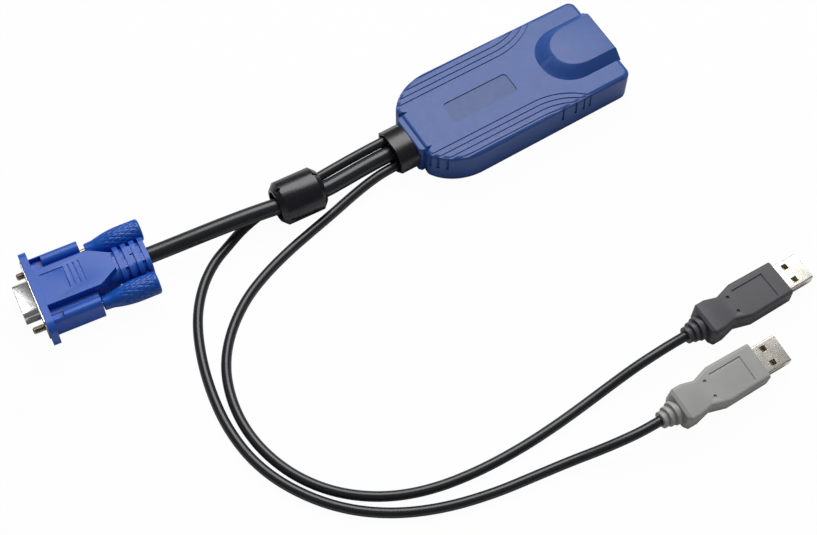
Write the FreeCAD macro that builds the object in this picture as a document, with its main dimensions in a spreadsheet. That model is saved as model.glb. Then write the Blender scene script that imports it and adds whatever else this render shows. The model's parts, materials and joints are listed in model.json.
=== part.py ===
"""A two-plug KVM interface module: housing with a network jack, video plug and two USB plugs on cords.

Frame: +X runs along the housing from the cable collar to the network jack, +Z is up, and the origin
is the middle of the housing's underside.  All sizes are in millimetres and angles in degrees.
"""
import FreeCAD, Part
import math
import os
import re

import Sketcher
from FreeCAD import Placement, Rotation, Vector

SIZES = {
    # housing
    "housing_length": 92.0, "shoulder_half_width": 22.9, "end_half_width": 22.2, "shoulder_radius": 20.0,
    "shoulder_reach": 21.0, "end_corner": 3.6, "housing_height": 15.2, "seam_level": 2.6, "wall": 1.9,
    "floor_thickness": 2.0, "top_round": 2.0, "bottom_round": 1.8, "seam_gap": 0.1, "rim_width": 1.0,
    "rim_height": 1.2, "neck_half_width": 9.3, "neck_reach": 4.0, "neck_drop": 0.7, "neck_corner": 1.2,
    "shoulder_end_drop": 6.4, "cavity_end_drop": 4.0, "facet_depth": 2.0, "facet_length": 5.6,
    "facet_half_width": 3.4, "facet_slope": 1.5,
    # hump over the jack
    "hump_height": 19.0, "hump_base_half": 13.9, "hump_top_half": 9.8, "hump_base_reach": 28.4,
    "hump_top_reach": 20.8, "hump_base_corner": 13.2, "hump_top_corner": 9.2, "hump_round": 0.6, "hump_root": 0.3,
    # grooves and label place
    "groove_inner": 13.2, "groove_pitch": 2.6, "groove_width": 1.0, "groove_depth": 0.6, "groove_bend": 30.0,
    "groove_turn": 5.0, "groove_rise": 10.5, "notch_drop": 7.4, "notch_depth": 0.35, "label_length": 30.0,
    "label_width": 10.2, "label_centre": -12.0, "label_depth": 0.4, "label_corner": 1.6,
    # screws of the housing
    "boss_radius": 2.8, "screw_radius": 1.2, "screw_hole": 1.35, "screw_length": 8.0, "head_radius": 2.3,
    "head_height": 1.2, "counterbore_radius": 2.5, "counterbore_depth": 1.4, "boss_inset": 4.0,
    "boss_front_inset": 17.0, "boss_rear_inset": 8.0, "boss_gap": 0.3, "pilot_spare": 1.0, "cross_width": 0.6, "cross_depth": 0.7,
    # board and network jack
    "board_front_gap": 9.0, "board_rear_gap": 3.4, "board_side_gap": 0.8, "board_corner": 4.5,
    "board_thickness": 1.6, "standoff_height": 1.0, "standoff_radius": 2.0, "standoff_inset": 5.0,
    "standoff_row_inset": 3.5, "header_gap": 1.5, "header_length": 5.0, "header_half_width": 9.0,
    "header_height": 5.0, "slot_width": 1.0, "slot_length": 4.0, "slot_depth": 2.5, "slot_pitch": 2.14,
    "chip_height": 1.3, "digitiser_side": 12.0, "digitiser_gap": 8.5, "processor_side": 14.0,
    "processor_gap": 8.0, "transceiver_side": 6.0, "chip_row_gap": 3.0, "jack_length": 21.0, "jack_width": 16.0,
    "jack_height": 12.2, "shield_thickness": 0.3, "plug_width": 11.8, "plug_height": 6.7, "plug_depth": 14.0,
    "catch_width": 6.2, "catch_height": 1.7, "jack_ceiling": 2.2, "wire_pitch": 1.02, "wire_size": 0.4,
    "wire_front": 1.6, "wire_bend": 2.6, "wire_back": 9.8, "wire_drop": 1.8, "catch_stop": 2.0,
    # cable collar
    "collar_width": 18.4, "collar_height": 14.0, "collar_base": 1.0, "collar_length": 8.4,
    "collar_corner": 4.2, "collar_rim": 1.2, "collar_recess": 2.0, "collar_recess_corner": 2.8,
    "collar_neck_width": 13.0, "collar_neck_top": 12.2, "collar_flange": 2.0, "collar_flange_step": 1.2,
    "flange_gap": 0.3,
    # cords
    "video_cord": 6.8, "usb_cord": 4.0,
    # clip-on ferrite
    "ferrite_x": -96.0, "ferrite_y": 1.3, "ferrite_turn": -3.3, "ferrite_roll": -17.0, "case_radius": 9.0, "case_length": 19.6,
    "case_wall": 1.2, "case_bore": 5.9, "case_bevel": 2.2, "core_gap": 0.1, "core_bore": 5.75,
    "end_wall": 2.0, "split_gap": 0.06, "hinge_radius": 0.85, "hinge_pin_radius": 0.42, "hinge_gap": 0.2,
    "pin_clearance": 0.05, "knuckle_length": 4.0, "knuckle_gap": 0.3, "latch_width": 6.4, "latch_at": -0.9,
    "latch_stand": 0.15, "latch_depth": 0.5, "latch_gap": 0.08, "latch_turn": 24.0, "latch_root_turn": 18.0,
    "crown_notch_width": 1.3, "crown_notch_length": 2.8, "crown_notch_depth": 1.5,
    "crown_notch_near": -7.5, "crown_notch_far": -1.5,
    # video plug
    "video_x": -205.1, "video_y": 13.85, "video_turn": -7.4, "video_pitch": -2.0, "flange_width": 38.6,
    "flange_height": 15.0, "flange_thickness": 3.0, "flange_corner": 4.5, "plate_thickness": 0.5,
    "plate_width": 30.8, "plate_height": 12.5, "plate_corner": 1.6, "shell_width": 16.9, "shell_height": 8.3,
    "shell_reach": 6.1, "shell_wall": 0.4, "shell_lean": 1.4, "shell_corner": 2.4, "screw_spacing": 25.0,
    "hood_half_width": 8.2, "hood_half_height": 7.0, "hood_length": 25.0, "hood_taper_end": 32.6,
    "hood_taper_half": 3.6, "channel_inner": 10.9, "channel_outer": 15.7, "channel_half_height": 5.7,
    "channel_length": 22.6, "channel_corner": 2.2, "channel_notch_length": 4.6, "channel_notch_depth": 2.6,
    "channel_notch_inset": 1.2, "trench_half_height": 3.4, "relief_end": 46.2, "relief_half_width": 7.2,
    "relief_half_height": 5.6, "relief_core_half_width": 6.2, "relief_core_half_height": 4.6,
    "relief_corner": 4.0, "rib_length": 2.0, "rib_pitch": 3.4, "rib_bar_inner": 0.6, "rib_bar_outer": 4.0,
    "rib_bar_inset": 0.4,
    "line_depth": 0.4, "line_width": 0.5, "line_first": 13.8, "line_pitch": 2.13, "line_top": 5.6,
    "line_bottom": -4.2, "line_front": 4.7,
    "pin_radius": 0.38, "pin_pitch": 2.29, "pin_row_pitch": 1.98, "pin_reach": 5.2, "insulator_reach": 0.6,
    # thumbscrews
    "knob_start": 22.9, "knob_length": 22.8, "knob_front_radius": 2.8, "knob_rear_radius": 4.2,
    "knob_neck_length": 7.5, "knob_flute_width": 0.7, "knob_flute_depth": 0.5, "knob_end_round": 1.0,
    "knob_front_step": 0.3, "knob_swell_start": 3.5, "knob_swell_run": 11.5,
    "thread_radius": 1.42, "thread_reach": 5.4, "thread_length": 4.8, "thread_point": 0.6,
    "shank_radius": 1.15, "shank_clearance": 0.08, "slid_back": 1.9,
    "knob_seat_gap": 0.1,
    # USB plugs
    "grip_front_half": 7.9, "grip_wide_half": 8.2, "grip_neck_half": 7.6, "grip_waist_half": 6.1,
    "grip_flare_half": 7.3, "grip_wide_at": 19.5, "grip_neck_at": 21.6, "grip_waist_at": 26.8,
    "grip_flare_at": 32.6, "grip_length": 38.0, "grip_end_length": 1.4, "grip_end_inset": 1.4,
    "grip_half_height": 4.2, "waist_half_height": 4.3, "flare_half_height": 5.4, "grip_corner": 1.4, "usb_relief_length": 7.6,
    "usb_relief_start": 4.8, "usb_relief_end": 3.4, "usb_rib_step": 0.9, "usb_relief_seat": 1.0, "usb_rib_length": 1.5, "usb_rib_pitch": 2.5,
    "usb_width": 12.0, "usb_height": 4.5, "usb_reach": 11.85, "usb_wall": 0.3, "usb_root": 5.0, "usb_corner": 0.5,
    "usb_inner_corner": 0.2,
    "window_size": 2.3, "window_at": 4.9, "window_row": 3.2, "tongue_thickness": 1.9, "tongue_back": 0.8,
    "tongue_side_gap": 0.2,
    "contact_pitch": 2.25, "contact_width": 1.1, "contact_thickness": 0.2, "contact_length": 8.0,
    "contact_setback": 0.8, "contact_stagger": 1.0,
    "frame_line_depth": 0.45, "frame_line_width": 0.65, "frame_line_front": 6.0, "frame_line_back": 20.5,
    "frame_line_far": 5.0, "frame_line_near": 6.0, "dimple_radius": 0.6, "dimple_row": 3.4, "dimple_at": 23.6,
    "black_x": 43.8, "black_y": -127.7, "black_z": 4.75, "black_turn": 2.1, "black_roll": 3.0,
    "grey_x": 14.7, "grey_y": -152.7, "grey_z": 5.65, "grey_turn": 2.0, "grey_roll": 9.0, "usb_pitch": 3.0,
}

VIDEO_CORD_ROUTE = [
    (-52.42, 0.4, 7.6), (-59.5, 0.4, 7.6), (-68.0, -0.05, 7.9), (-77.0, -0.75, 8.25), (-86.0, -1.4, 8.7),
    (-96.0, -0.72, 9.75), (-106.0, 0.55, 10.7), (-117.0, 2.2, 10.9), (-128.0, 3.77, 10.6),
    (-139.0, 5.26, 10.05), (-149.4, 6.62, 9.46), (-159.29, 7.9, 9.11)]
GREY_CORD_ROUTE = [
    (-52.42, 5.0, 10.5), (-59.5, 5.0, 10.5), (-68.0, 4.95, 10.2), (-77.0, 4.7, 9.9), (-86.0, 4.32, 9.5),
    (-96.0, 4.74, 7.75), (-106.0, 4.12, 6.1), (-114.0, 4.0, 4.0), (-121.5, 2.7, 2.5), (-129.0, -0.4, 2.0),
    (-137.8, -4.4, 2.0), (-147.0, -11.8, 2.0), (-155.5, -23.0, 2.0), (-161.8, -37.5, 2.0),
    (-166.2, -53.5, 2.0), (-168.4, -71.0, 2.0), (-166.6, -89.0, 2.0), (-159.8, -105.5, 2.0),
    (-148.8, -120.5, 2.0), (-134.3, -132.0, 2.0), (-117.0, -139.9, 2.0), (-98.0, -144.6, 2.0),
    (-80.0, -146.8, 2.0), (-66.0, -149.0, 3.1), (-56.0, -151.6, 5.4), (-46.9, -153.6, 7.7),
    (-38.6, -154.56, 8.45), (-30.83, -154.29, 8.04)]
BLACK_CORD_ROUTE = [
    (-52.42, -4.3, 4.8), (-59.5, -4.3, 4.8), (-68.0, -5.3, 4.3), (-77.0, -6.9, 3.2), (-87.0, -9.2, 2.2),
    (-98.0, -11.8, 2.0), (-110.0, -14.9, 2.0), (-122.5, -19.1, 2.0), (-135.0, -25.0, 2.0),
    (-147.0, -34.5, 2.0), (-156.0, -46.0, 2.0), (-161.1, -59.5, 2.0), (-162.9, -74.0, 2.0),
    (-161.0, -88.5, 2.0), (-155.5, -102.6, 2.0), (-146.0, -115.3, 2.0), (-132.5, -125.3, 2.0),
    (-116.5, -131.4, 2.0), (-98.0, -134.1, 2.0), (-79.0, -134.4, 2.0), (-62.0, -133.2, 2.0),
    (-48.0, -131.6, 2.2), (-36.0, -130.6, 3.9), (-25.4, -130.15, 6.2), (-16.9, -130.05, 7.5),
    (-9.2, -129.64, 7.53), (-1.73, -129.37, 7.14)]

doc = FreeCAD.newDocument("kvm_module")
sheet = doc.addObject("Spreadsheet::Sheet", "sizes")
for row, (alias, value) in enumerate(SIZES.items(), 1):
    sheet.set(f"A{row}", alias.replace("_", " "))
    sheet.set(f"B{row}", str(value))
    sheet.setAlias(f"B{row}", alias)
doc.recompute()

UP = Vector(0, 0, 1)
finished = []


def bound(text):
    """The expression with each size's name led by the sheet's."""
    return re.sub(r"[a-z_]+", lambda m: "sizes." + m[0] if m[0] in SIZES else m[0], str(text))


def size(text):
    """The value that the expression has now."""
    return float(sheet.evalExpression(bound(text)))


# ---- sketches and features -----------------------------------------------------------------------

def new_body(label):
    """A PartDesign body for the sub-part of that name."""
    body = doc.addObject("PartDesign::Body", label.title().replace("_", ""))
    body.Label = label
    finished.append(body)
    return body


def new_sketch(body, name, plane, level="0"):
    """A sketch on one of the body's origin planes, lifted along its normal."""
    sketch = body.newObject("Sketcher::SketchObject", name)
    sketch.AttachmentSupport = [(next(f for f in body.Origin.OriginFeatures if f.Role == plane), "")]
    sketch.MapMode = "FlatFace"
    sketch.setExpression("AttachmentOffset.Base.z", bound(level))
    return sketch


def fix(sketch, kind, places, text):
    """One dimension of a sketch, bound to its expression."""
    index = sketch.addConstraint(Sketcher.Constraint(kind, *places, size(text)))
    sketch.setExpression(f"Constraints[{index}]", bound(text))


def outline(sketch, corners):
    """A closed outline.  A corner is (x, y), or (x, y, radius, turn) if an arc leads to it (+1 left)."""
    first = sketch.GeometryCount
    points = [Vector(size(corner[0]), size(corner[1]), 0) for corner in corners]
    ends = []
    for corner, start, end in zip(corners, points[-1:] + points[:-1], points):
        if len(corner) == 2:
            sketch.addGeometry(Part.LineSegment(start, end), False)
            ends.append((1, 2))
            continue
        radius, turn = size(corner[2]), corner[3]
        chord = end - start
        reach = math.sqrt(max(radius ** 2 - chord.Length ** 2 / 4, 0))
        side = Vector(-chord.y, chord.x, 0).normalize()
        centre = (start + end) * 0.5 + side * (turn * reach)
        low, high = (start, end) if turn > 0 else (end, start)
        angles = [math.atan2(p.y - centre.y, p.x - centre.x) for p in (low, high)]
        circle = Part.Circle(centre, UP, radius)
        sketch.addGeometry(Part.ArcOfCircle(circle, *angles), False)
        ends.append((1, 2) if turn > 0 else (2, 1))
    count = len(corners)
    for i in range(count):
        following = (i + 1) % count
        sketch.addConstraint(Sketcher.Constraint(
            "Coincident", first + i, ends[i][1], first + following, ends[following][0]))
    for i, corner in enumerate(corners):
        fix(sketch, "DistanceX", (-1, 1, first + i, ends[i][1]), corner[0])
        fix(sketch, "DistanceY", (-1, 1, first + i, ends[i][1]), corner[1])
        if len(corner) == 4:
            fix(sketch, "Radius", (first + i,), corner[2])


def rectangle(sketch, low_x, high_x, low_y, high_y):
    """A plain rectangle."""
    outline(sketch, [(low_x, low_y), (high_x, low_y), (high_x, high_y), (low_x, high_y)])


def rounded(sketch, low_x, high_x, low_y, high_y, radius):
    """A rectangle with rounded corners."""
    lx, hx, ly, hy = (f"({text})" for text in (low_x, high_x, low_y, high_y))
    outline(sketch, [
        (f"{hx} - {radius}", ly), (hx, f"{ly} + {radius}", radius, 1),
        (hx, f"{hy} - {radius}"), (f"{hx} - {radius}", hy, radius, 1),
        (f"{lx} + {radius}", hy), (lx, f"{hy} - {radius}", radius, 1),
        (lx, f"{ly} + {radius}"), (f"{lx} + {radius}", ly, radius, 1)])


def bevelled(sketch, half_y, low_z, high_z, cut):
    """A rectangle with its four corners cut off."""
    outline(sketch, [
        (f"{half_y} - {cut}", low_z), (half_y, f"{low_z} + {cut}"), (half_y, f"{high_z} - {cut}"),
        (f"{half_y} - {cut}", high_z), (f"-{half_y} + {cut}", high_z), (f"-{half_y}", f"{high_z} - {cut}"),
        (f"-{half_y}", f"{low_z} + {cut}"), (f"-{half_y} + {cut}", low_z)])


def circle(sketch, x, y, radius):
    """A full circle."""
    index = sketch.addGeometry(Part.Circle(Vector(size(x), size(y), 0), UP, size(radius)), False)
    fix(sketch, "DistanceX", (-1, 1, index, 3), x)
    fix(sketch, "DistanceY", (-1, 1, index, 3), y)
    fix(sketch, "Radius", (index,), radius)


def build(body, kind, profile, adds, **bindings):
    """A feature of the body from its profile, which must add or cut something."""
    before = body.Shape.Volume if body.Tip else 0.0
    step = body.newObject("PartDesign::" + kind, profile.Name + kind)
    step.Profile = profile
    for name, value in bindings.items():
        if isinstance(value, str):
            step.setExpression(name, bound(value))
        else:
            setattr(step, name, value)
    doc.recompute()
    gained = body.Shape.Volume - before
    if (gained > 0) != adds or abs(gained) < 1e-4:
        raise RuntimeError(f"{step.Name} of {body.Label} changed the volume by {gained:.4f}")
    return step


def pad(body, profile, length, back=False):
    """Raises the profile along its normal, or against it."""
    return build(body, "Pad", profile, True, Length=length, Reversed=back)


def pocket(body, profile, length, onward=False):
    """Cuts the profile against its normal, or onward along it."""
    return build(body, "Pocket", profile, False, Length=length, Reversed=onward)


def turned(body, profile, axis, adds=True):
    """Revolves the profile about one of its sketch's own axes."""
    return build(body, "Revolution" if adds else "Groove", profile, adds,
                 ReferenceAxis=(profile, [axis]), Angle=360.0)


def loft(body, profile, *sections):
    """A ruled loft from the profile through the other sections."""
    return build(body, "AdditiveLoft", profile, True, Sections=list(sections), Ruled=True)


def soften(body, kind, amount, chosen):
    """Fillets or chamfers the edges that the test picks."""
    tip = body.Tip
    names = [f"Edge{n}" for n, edge in enumerate(tip.Shape.Edges, 1) if chosen(edge)]
    if not names:
        raise RuntimeError(f"no edge of {body.Label} to soften")
    step = body.newObject("PartDesign::" + kind, body.Name + kind)
    step.Base = (tip, names)
    step.setExpression("Radius" if kind == "Fillet" else "Size", bound(amount))
    doc.recompute()
    return step


def spread(body, kind, step, **bindings):
    """A pattern of one step of the body."""
    pattern = body.newObject("PartDesign::" + kind, step.Name + kind)
    pattern.Originals = [step]
    for name, value in bindings.items():
        if isinstance(value, str):
            pattern.setExpression(name, bound(value))
        else:
            setattr(pattern, name, value)
    body.Tip = pattern
    doc.recompute()
    return pattern


def lies_at(height, slack=1e-4):
    """A test for edges that lie wholly at one height."""
    return lambda edge: all(abs(v.Z - height) < slack for v in edge.Vertexes) and \
        abs(edge.BoundBox.ZMax - edge.BoundBox.ZMin) < slack


def axis_of(body, role):
    """One of the body's own origin axes."""
    return next(f for f in body.Origin.OriginFeatures if f.Role == role)


def primitive(kind, label, place=("0", "0", "0"), turn=None, **bindings):
    """A Part primitive whose sizes and place are bound to the sheet."""
    item = doc.addObject("Part::" + kind, label)
    for name, value in bindings.items():
        item.setExpression(name, bound(value))
    if turn:
        item.Placement = Placement(Vector(), turn)
    for letter, value in zip("xyz", place):
        item.setExpression(f"Placement.Base.{letter}", bound(value))
    return item


def joined(kind, label, items, keep=True):
    """A Part compound or boolean of other items."""
    item = doc.addObject("Part::" + kind, label.title().replace("_", ""))
    if kind == "Compound":
        item.Links = items
    elif kind == "Cut":
        item.Base, item.Tool = items
    else:
        item.Shapes = items
    item.Label = label
    if keep:
        finished.append(item)
    return item


JACK_BASE = "(floor_thickness + standoff_height + board_thickness)"
BOARD_FRONT = "(-housing_length/2 + board_front_gap)"
BOARD_REAR = "(housing_length/2 - board_rear_gap)"
BOSS_ROW = "(end_half_width - boss_inset)"
BOARD_HALF = f"({BOSS_ROW} - boss_radius - board_side_gap)"
FLANGE_HALF = "(collar_neck_width/2 + collar_flange_step)"
FRONT_WALL = ("(shoulder_reach - sqrt((shoulder_radius - wall)^2"
              f" - ({FLANGE_HALF} - shoulder_half_width + shoulder_radius)^2))")


# ---- housing -------------------------------------------------------------------------------------

def housing_outline(sketch, inset="0", end_drop="shoulder_end_drop"):
    """The module seen from above: straight sides, small corners at the jack and round shoulders."""
    centre_x = "(-housing_length/2 + shoulder_reach)"
    centre_y = "(shoulder_half_width - shoulder_radius)"
    radius = f"(shoulder_radius - {inset})"
    front_x = f"({centre_x} - sqrt({radius}^2 - {end_drop}^2))"
    front_y = f"({centre_y} + {end_drop})"
    side = f"(shoulder_half_width - {inset})"
    end = f"(end_half_width - {inset})"
    rear = f"(housing_length/2 - {inset})"
    corner = f"(end_corner - {inset})"
    outline(sketch, [
        (front_x, f"-{front_y}"), (centre_x, f"-{side}", radius, 1), (f"{rear} - {corner}", f"-{end}"),
        (rear, f"-{end} + {corner}", corner, 1), (rear, f"{end} - {corner}"),
        (f"{rear} - {corner}", end, corner, 1), (centre_x, side), (front_x, front_y, radius, 1)])


def boss_places():
    """The four screw places, as expressions."""
    rows = ("(-housing_length/2 + boss_front_inset)", "(housing_length/2 - boss_rear_inset)")
    return [(x, f"{sign}{BOSS_ROW}") for x in rows for sign in ("", "-")]


def groove_bands(sketch):
    """Four grooves along each side, which bend out over the edge."""
    end_x = "groove_turn + sqrt(({r})^2 - (({r}) - {rise})^2)"
    for side, turn in (("", 1), ("-", -1)):
        for index in range(4):
            middle = f"(groove_inner + {index}*groove_pitch)"
            low, high = f"({middle} - groove_width/2)", f"({middle} + groove_width/2)"
            outer_end = f"({high} + groove_rise)"
            inner_end = f"({low} + groove_rise)"
            reach = end_x.format(r="groove_bend", rise="groove_rise")
            front = "-housing_length/2"
            corners = [
                (front, f"{side}{low}"), ("groove_turn", f"{side}{low}"),
                (reach, f"{side}{inner_end}", "groove_bend", turn), (reach, f"{side}{outer_end}"),
                ("groove_turn", f"{side}{high}", "groove_bend", -turn), (front, f"{side}{high}")]
            outline(sketch, corners)


def side_notches(sketch):
    """Where the grooves run on down the side walls: short upright slots near both ends."""
    centre_x = "(-housing_length/2 + shoulder_reach)"
    centre_y = "(shoulder_half_width - shoulder_radius)"
    for index in range(4):
        middle = f"(groove_inner + {index}*groove_pitch)"
        rise = f"(end_half_width - {middle})"
        rear = f"(groove_turn + sqrt(groove_bend^2 - (groove_bend - {rise})^2))"
        front = f"({centre_x} - sqrt(shoulder_radius^2 - ({middle} - {centre_y})^2))"
        for side in ("", "-"):
            wall_face = f"{side}(end_half_width - notch_depth)"
            beyond = f"{side}(shoulder_half_width + notch_depth)"
            rectangle(sketch, f"{rear} - groove_width/2", f"{rear} + groove_width/2", wall_face, beyond)
            if index < 3:
                rectangle(sketch, f"{front} - groove_pitch/2", f"{front} + notch_depth",
                          f"{side}({middle} - groove_width/2)", f"{side}({middle} + groove_width/2)")


def make_housing_top():
    """Top shell: walls, hump, grooves, label place, jack bay, collar slot and screw bosses."""
    body = new_body("housing_top")
    face = new_sketch(body, "TopOutline", "XY_Plane", "seam_level")
    housing_outline(face)
    pad(body, face, "housing_height - seam_level")
    soften(body, "Fillet", "top_round", lies_at(size("housing_height")))
    neck = new_sketch(body, "NeckOutline", "XY_Plane", "seam_level")
    outline(neck, neck_corners())
    pad(body, neck, "housing_height - neck_drop - seam_level")
    soften(body, "Fillet", "neck_drop", neck_edges(size("housing_height - neck_drop")))
    base = new_sketch(body, "HumpBase", "XY_Plane", "housing_height - hump_root")
    hump_outline(base, "hump_base_reach", "hump_base_half", "hump_base_corner")
    crown = new_sketch(body, "HumpCrown", "XY_Plane", "hump_height")
    hump_outline(crown, "hump_top_reach", "hump_top_half", "hump_top_corner")
    loft(body, base, crown)
    soften(body, "Fillet", "hump_round", lies_at(size("hump_height")))
    label = new_sketch(body, "LabelPlace", "XY_Plane", "housing_height")
    rounded(label, "label_centre - label_length/2", "label_centre + label_length/2",
            "-label_width/2", "label_width/2", "label_corner")
    pocket(body, label, "label_depth")
    grooves = new_sketch(body, "Grooves", "XY_Plane", "housing_height")
    groove_bands(grooves)
    pocket(body, grooves, "groove_depth")
    notches = new_sketch(body, "SideNotches", "XY_Plane", "housing_height")
    side_notches(notches)
    pocket(body, notches, "notch_drop")
    for side in ("", "-"):
        mouth = new_sketch(body, "FacetMouth", "XY_Plane", "housing_height")
        facet_outline(mouth, side, "0")
        foot = new_sketch(body, "FacetFoot", "XY_Plane", "housing_height - facet_depth")
        facet_outline(foot, side, "facet_slope")
        build(body, "SubtractiveLoft", mouth, False, Sections=[foot], Ruled=True)
    cavity = new_sketch(body, "TopCavity", "XY_Plane", "seam_level")
    housing_outline(cavity, "wall", "cavity_end_drop")
    pocket(body, cavity, "housing_height - wall - seam_level", onward=True)
    bosses = new_sketch(body, "TopBosses", "XY_Plane", "seam_level")
    for x, y in boss_places():
        circle(bosses, x, y, "boss_radius")
    pad(body, bosses, "housing_height - wall - seam_level + 0.2")
    pilots = new_sketch(body, "TopPilots", "XY_Plane", "seam_level")
    for x, y in boss_places():
        circle(pilots, x, y, "screw_radius")
    pocket(body, pilots, "screw_length - (seam_level - counterbore_depth) + pilot_spare", onward=True)
    bay = new_sketch(body, "JackBay", "YZ_Plane", "housing_length/2")
    rectangle(bay, "-jack_width/2", "jack_width/2", "seam_level", f"{JACK_BASE} + jack_height")
    pocket(body, bay, "jack_length")
    slot = new_sketch(body, "CollarSlot", "YZ_Plane", "-housing_length/2")
    rectangle(slot, "-collar_neck_width/2", "collar_neck_width/2", "seam_level", "collar_neck_top")
    pocket(body, slot, FRONT_WALL, onward=True)


def facet_outline(sketch, side, inset):
    """The sloping cut between the neck and one shoulder, at one height."""
    front, middle = "-housing_length/2", "(neck_half_width + facet_half_width/2)"
    half = f"(facet_half_width - {inset})"
    outline(sketch, [
        (f"{front} - facet_slope", f"{side}({middle} - {half})"),
        (f"{front} + facet_length - 2*{inset}", f"{side}({middle} - {half}/2)"),
        (f"{front} - facet_slope", f"{side}({middle} + {half})")])


def neck_corners():
    """The neck that carries the collar, with its outer corners cut."""
    front = "-housing_length/2"
    return [("-housing_length/2 + neck_reach", "-neck_half_width"),
            ("-housing_length/2 + neck_reach", "neck_half_width"),
            (f"{front} + neck_corner", "neck_half_width"), (front, "neck_half_width - neck_corner"),
            (front, "-neck_half_width + neck_corner"), (f"{front} + neck_corner", "-neck_half_width")]


def neck_edges(height):
    """A test for the neck's free edges at one height."""
    flat = lies_at(height)
    limit = size("-housing_length/2 + neck_corner") + 0.01
    return lambda edge: flat(edge) and all(v.X < limit for v in edge.Vertexes)


def hump_outline(sketch, reach, half, corner):
    """The hump's outline at one height: round at the front, flush with the jack end."""
    front = f"(housing_length/2 - {reach})"
    rear = "housing_length/2"
    outline(sketch, [
        (front, f"-{half} + {corner}"), (f"{front} + {corner}", f"-{half}", corner, 1),
        (rear, f"-{half}"), (rear, half), (f"{front} + {corner}", half),
        (front, f"{half} - {corner}", corner, 1)])


def make_housing_bottom():
    """Bottom shell: tray with a locating rim, board standoffs, screw holes and the sill under the jack."""
    body = new_body("housing_bottom")
    face = new_sketch(body, "BottomOutline", "XY_Plane")
    housing_outline(face)
    pad(body, face, "seam_level")
    soften(body, "Fillet", "bottom_round", lies_at(0))
    neck = new_sketch(body, "BottomNeck", "XY_Plane", "seam_level")
    outline(neck, neck_corners())
    pad(body, neck, "seam_level - 0.6", back=True)
    cavity = new_sketch(body, "BottomCavity", "XY_Plane", "seam_level")
    housing_outline(cavity, "wall", "cavity_end_drop")
    pocket(body, cavity, "seam_level - floor_thickness")
    rim = new_sketch(body, "Rim", "XY_Plane", "floor_thickness - 0.2")
    housing_outline(rim, "(wall + seam_gap)", "cavity_end_drop")
    housing_outline(rim, "(wall + seam_gap + rim_width)", "cavity_end_drop")
    pad(body, rim, "seam_level + rim_height - floor_thickness + 0.2")
    gaps = new_sketch(body, "RimGaps", "XY_Plane", "seam_level")
    for x, y in boss_places():
        circle(gaps, x, y, "boss_radius + boss_gap")
    rectangle(gaps, "-housing_length/2", f"-housing_length/2 + {FRONT_WALL} + collar_flange + 2*flange_gap",
              f"-{FLANGE_HALF} - flange_gap", f"{FLANGE_HALF} + flange_gap")
    pocket(body, gaps, "2*rim_height", onward=True)
    seats = new_sketch(body, "Seats", "XY_Plane", "floor_thickness - 0.2")
    for x, y in boss_places():
        circle(seats, x, y, "boss_radius")
    pad(body, seats, "seam_level - floor_thickness + 0.2")
    posts = new_sketch(body, "Standoffs", "XY_Plane", "floor_thickness - 0.2")
    for x in (f"{BOARD_FRONT} + standoff_inset", f"{BOARD_REAR} - standoff_inset"):
        for y in (f"{BOARD_HALF} - standoff_row_inset", f"-{BOARD_HALF} + standoff_row_inset"):
            circle(posts, x, y, "standoff_radius")
    pad(body, posts, "standoff_height + 0.2")
    sill = new_sketch(body, "Sill", "XY_Plane", "seam_level - 0.2")
    rectangle(sill, "housing_length/2 - wall", "housing_length/2", "-jack_width/2", "jack_width/2")
    pad(body, sill, f"{JACK_BASE} - seam_level + 0.2")
    holes = new_sketch(body, "ScrewHoles", "XY_Plane")
    wide = new_sketch(body, "Counterbores", "XY_Plane")
    for x, y in boss_places():
        circle(holes, x, y, "screw_hole")
        circle(wide, x, y, "counterbore_radius")
    pocket(body, holes, "seam_level", onward=True)
    pocket(body, wide, "counterbore_depth", onward=True)


def make_housing_screws():
    """Four self-tapping screws with crossed recesses, seated in the underside's counterbores."""
    screws = []
    for number, (x, y) in enumerate(boss_places(), 1):
        seat = "counterbore_depth"
        head = primitive("Cylinder", f"ScrewHead{number}", (x, y, f"{seat} - head_height"),
                         Radius="head_radius", Height="head_height")
        shank = primitive("Cylinder", f"ScrewShank{number}", (x, y, seat),
                          Radius="screw_radius", Height="screw_length")
        bars = [
            primitive("Box", f"ScrewBar{number}{way}", (f"{x} - {long_x}/2", f"{y} - {long_y}/2",
                                                       f"{seat} - head_height"),
                      Length=long_x, Width=long_y, Height="cross_depth")
            for way, long_x, long_y in (("A", "(head_radius*1.2)", "cross_width"),
                                        ("B", "cross_width", "(head_radius*1.2)"))]
        solid = joined("MultiFuse", f"screw_blank_{number}", [head, shank], keep=False)
        cross = joined("MultiFuse", f"screw_cross_{number}", bars, keep=False)
        screws.append(joined("Cut", f"screw_{number}", (solid, cross), keep=False))
    joined("Compound", "housing_screws", screws)


# ---- board and network jack ------------------------------------------------------------------------

def make_circuit_board():
    """The board, with its front corners cut to clear the shoulders."""
    body = new_body("circuit_board")
    face = new_sketch(body, "BoardOutline", "XY_Plane", "floor_thickness + standoff_height")
    cut_x, cut_y = f"{BOARD_FRONT} + board_corner", f"({BOARD_HALF} - board_corner)"
    outline(face, [
        (cut_x, f"-{BOARD_HALF}"), (BOARD_REAR, f"-{BOARD_HALF}"), (BOARD_REAR, BOARD_HALF),
        (cut_x, BOARD_HALF), (BOARD_FRONT, cut_y), (BOARD_FRONT, f"-{cut_y}")])
    pad(body, face, "board_thickness")


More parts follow.
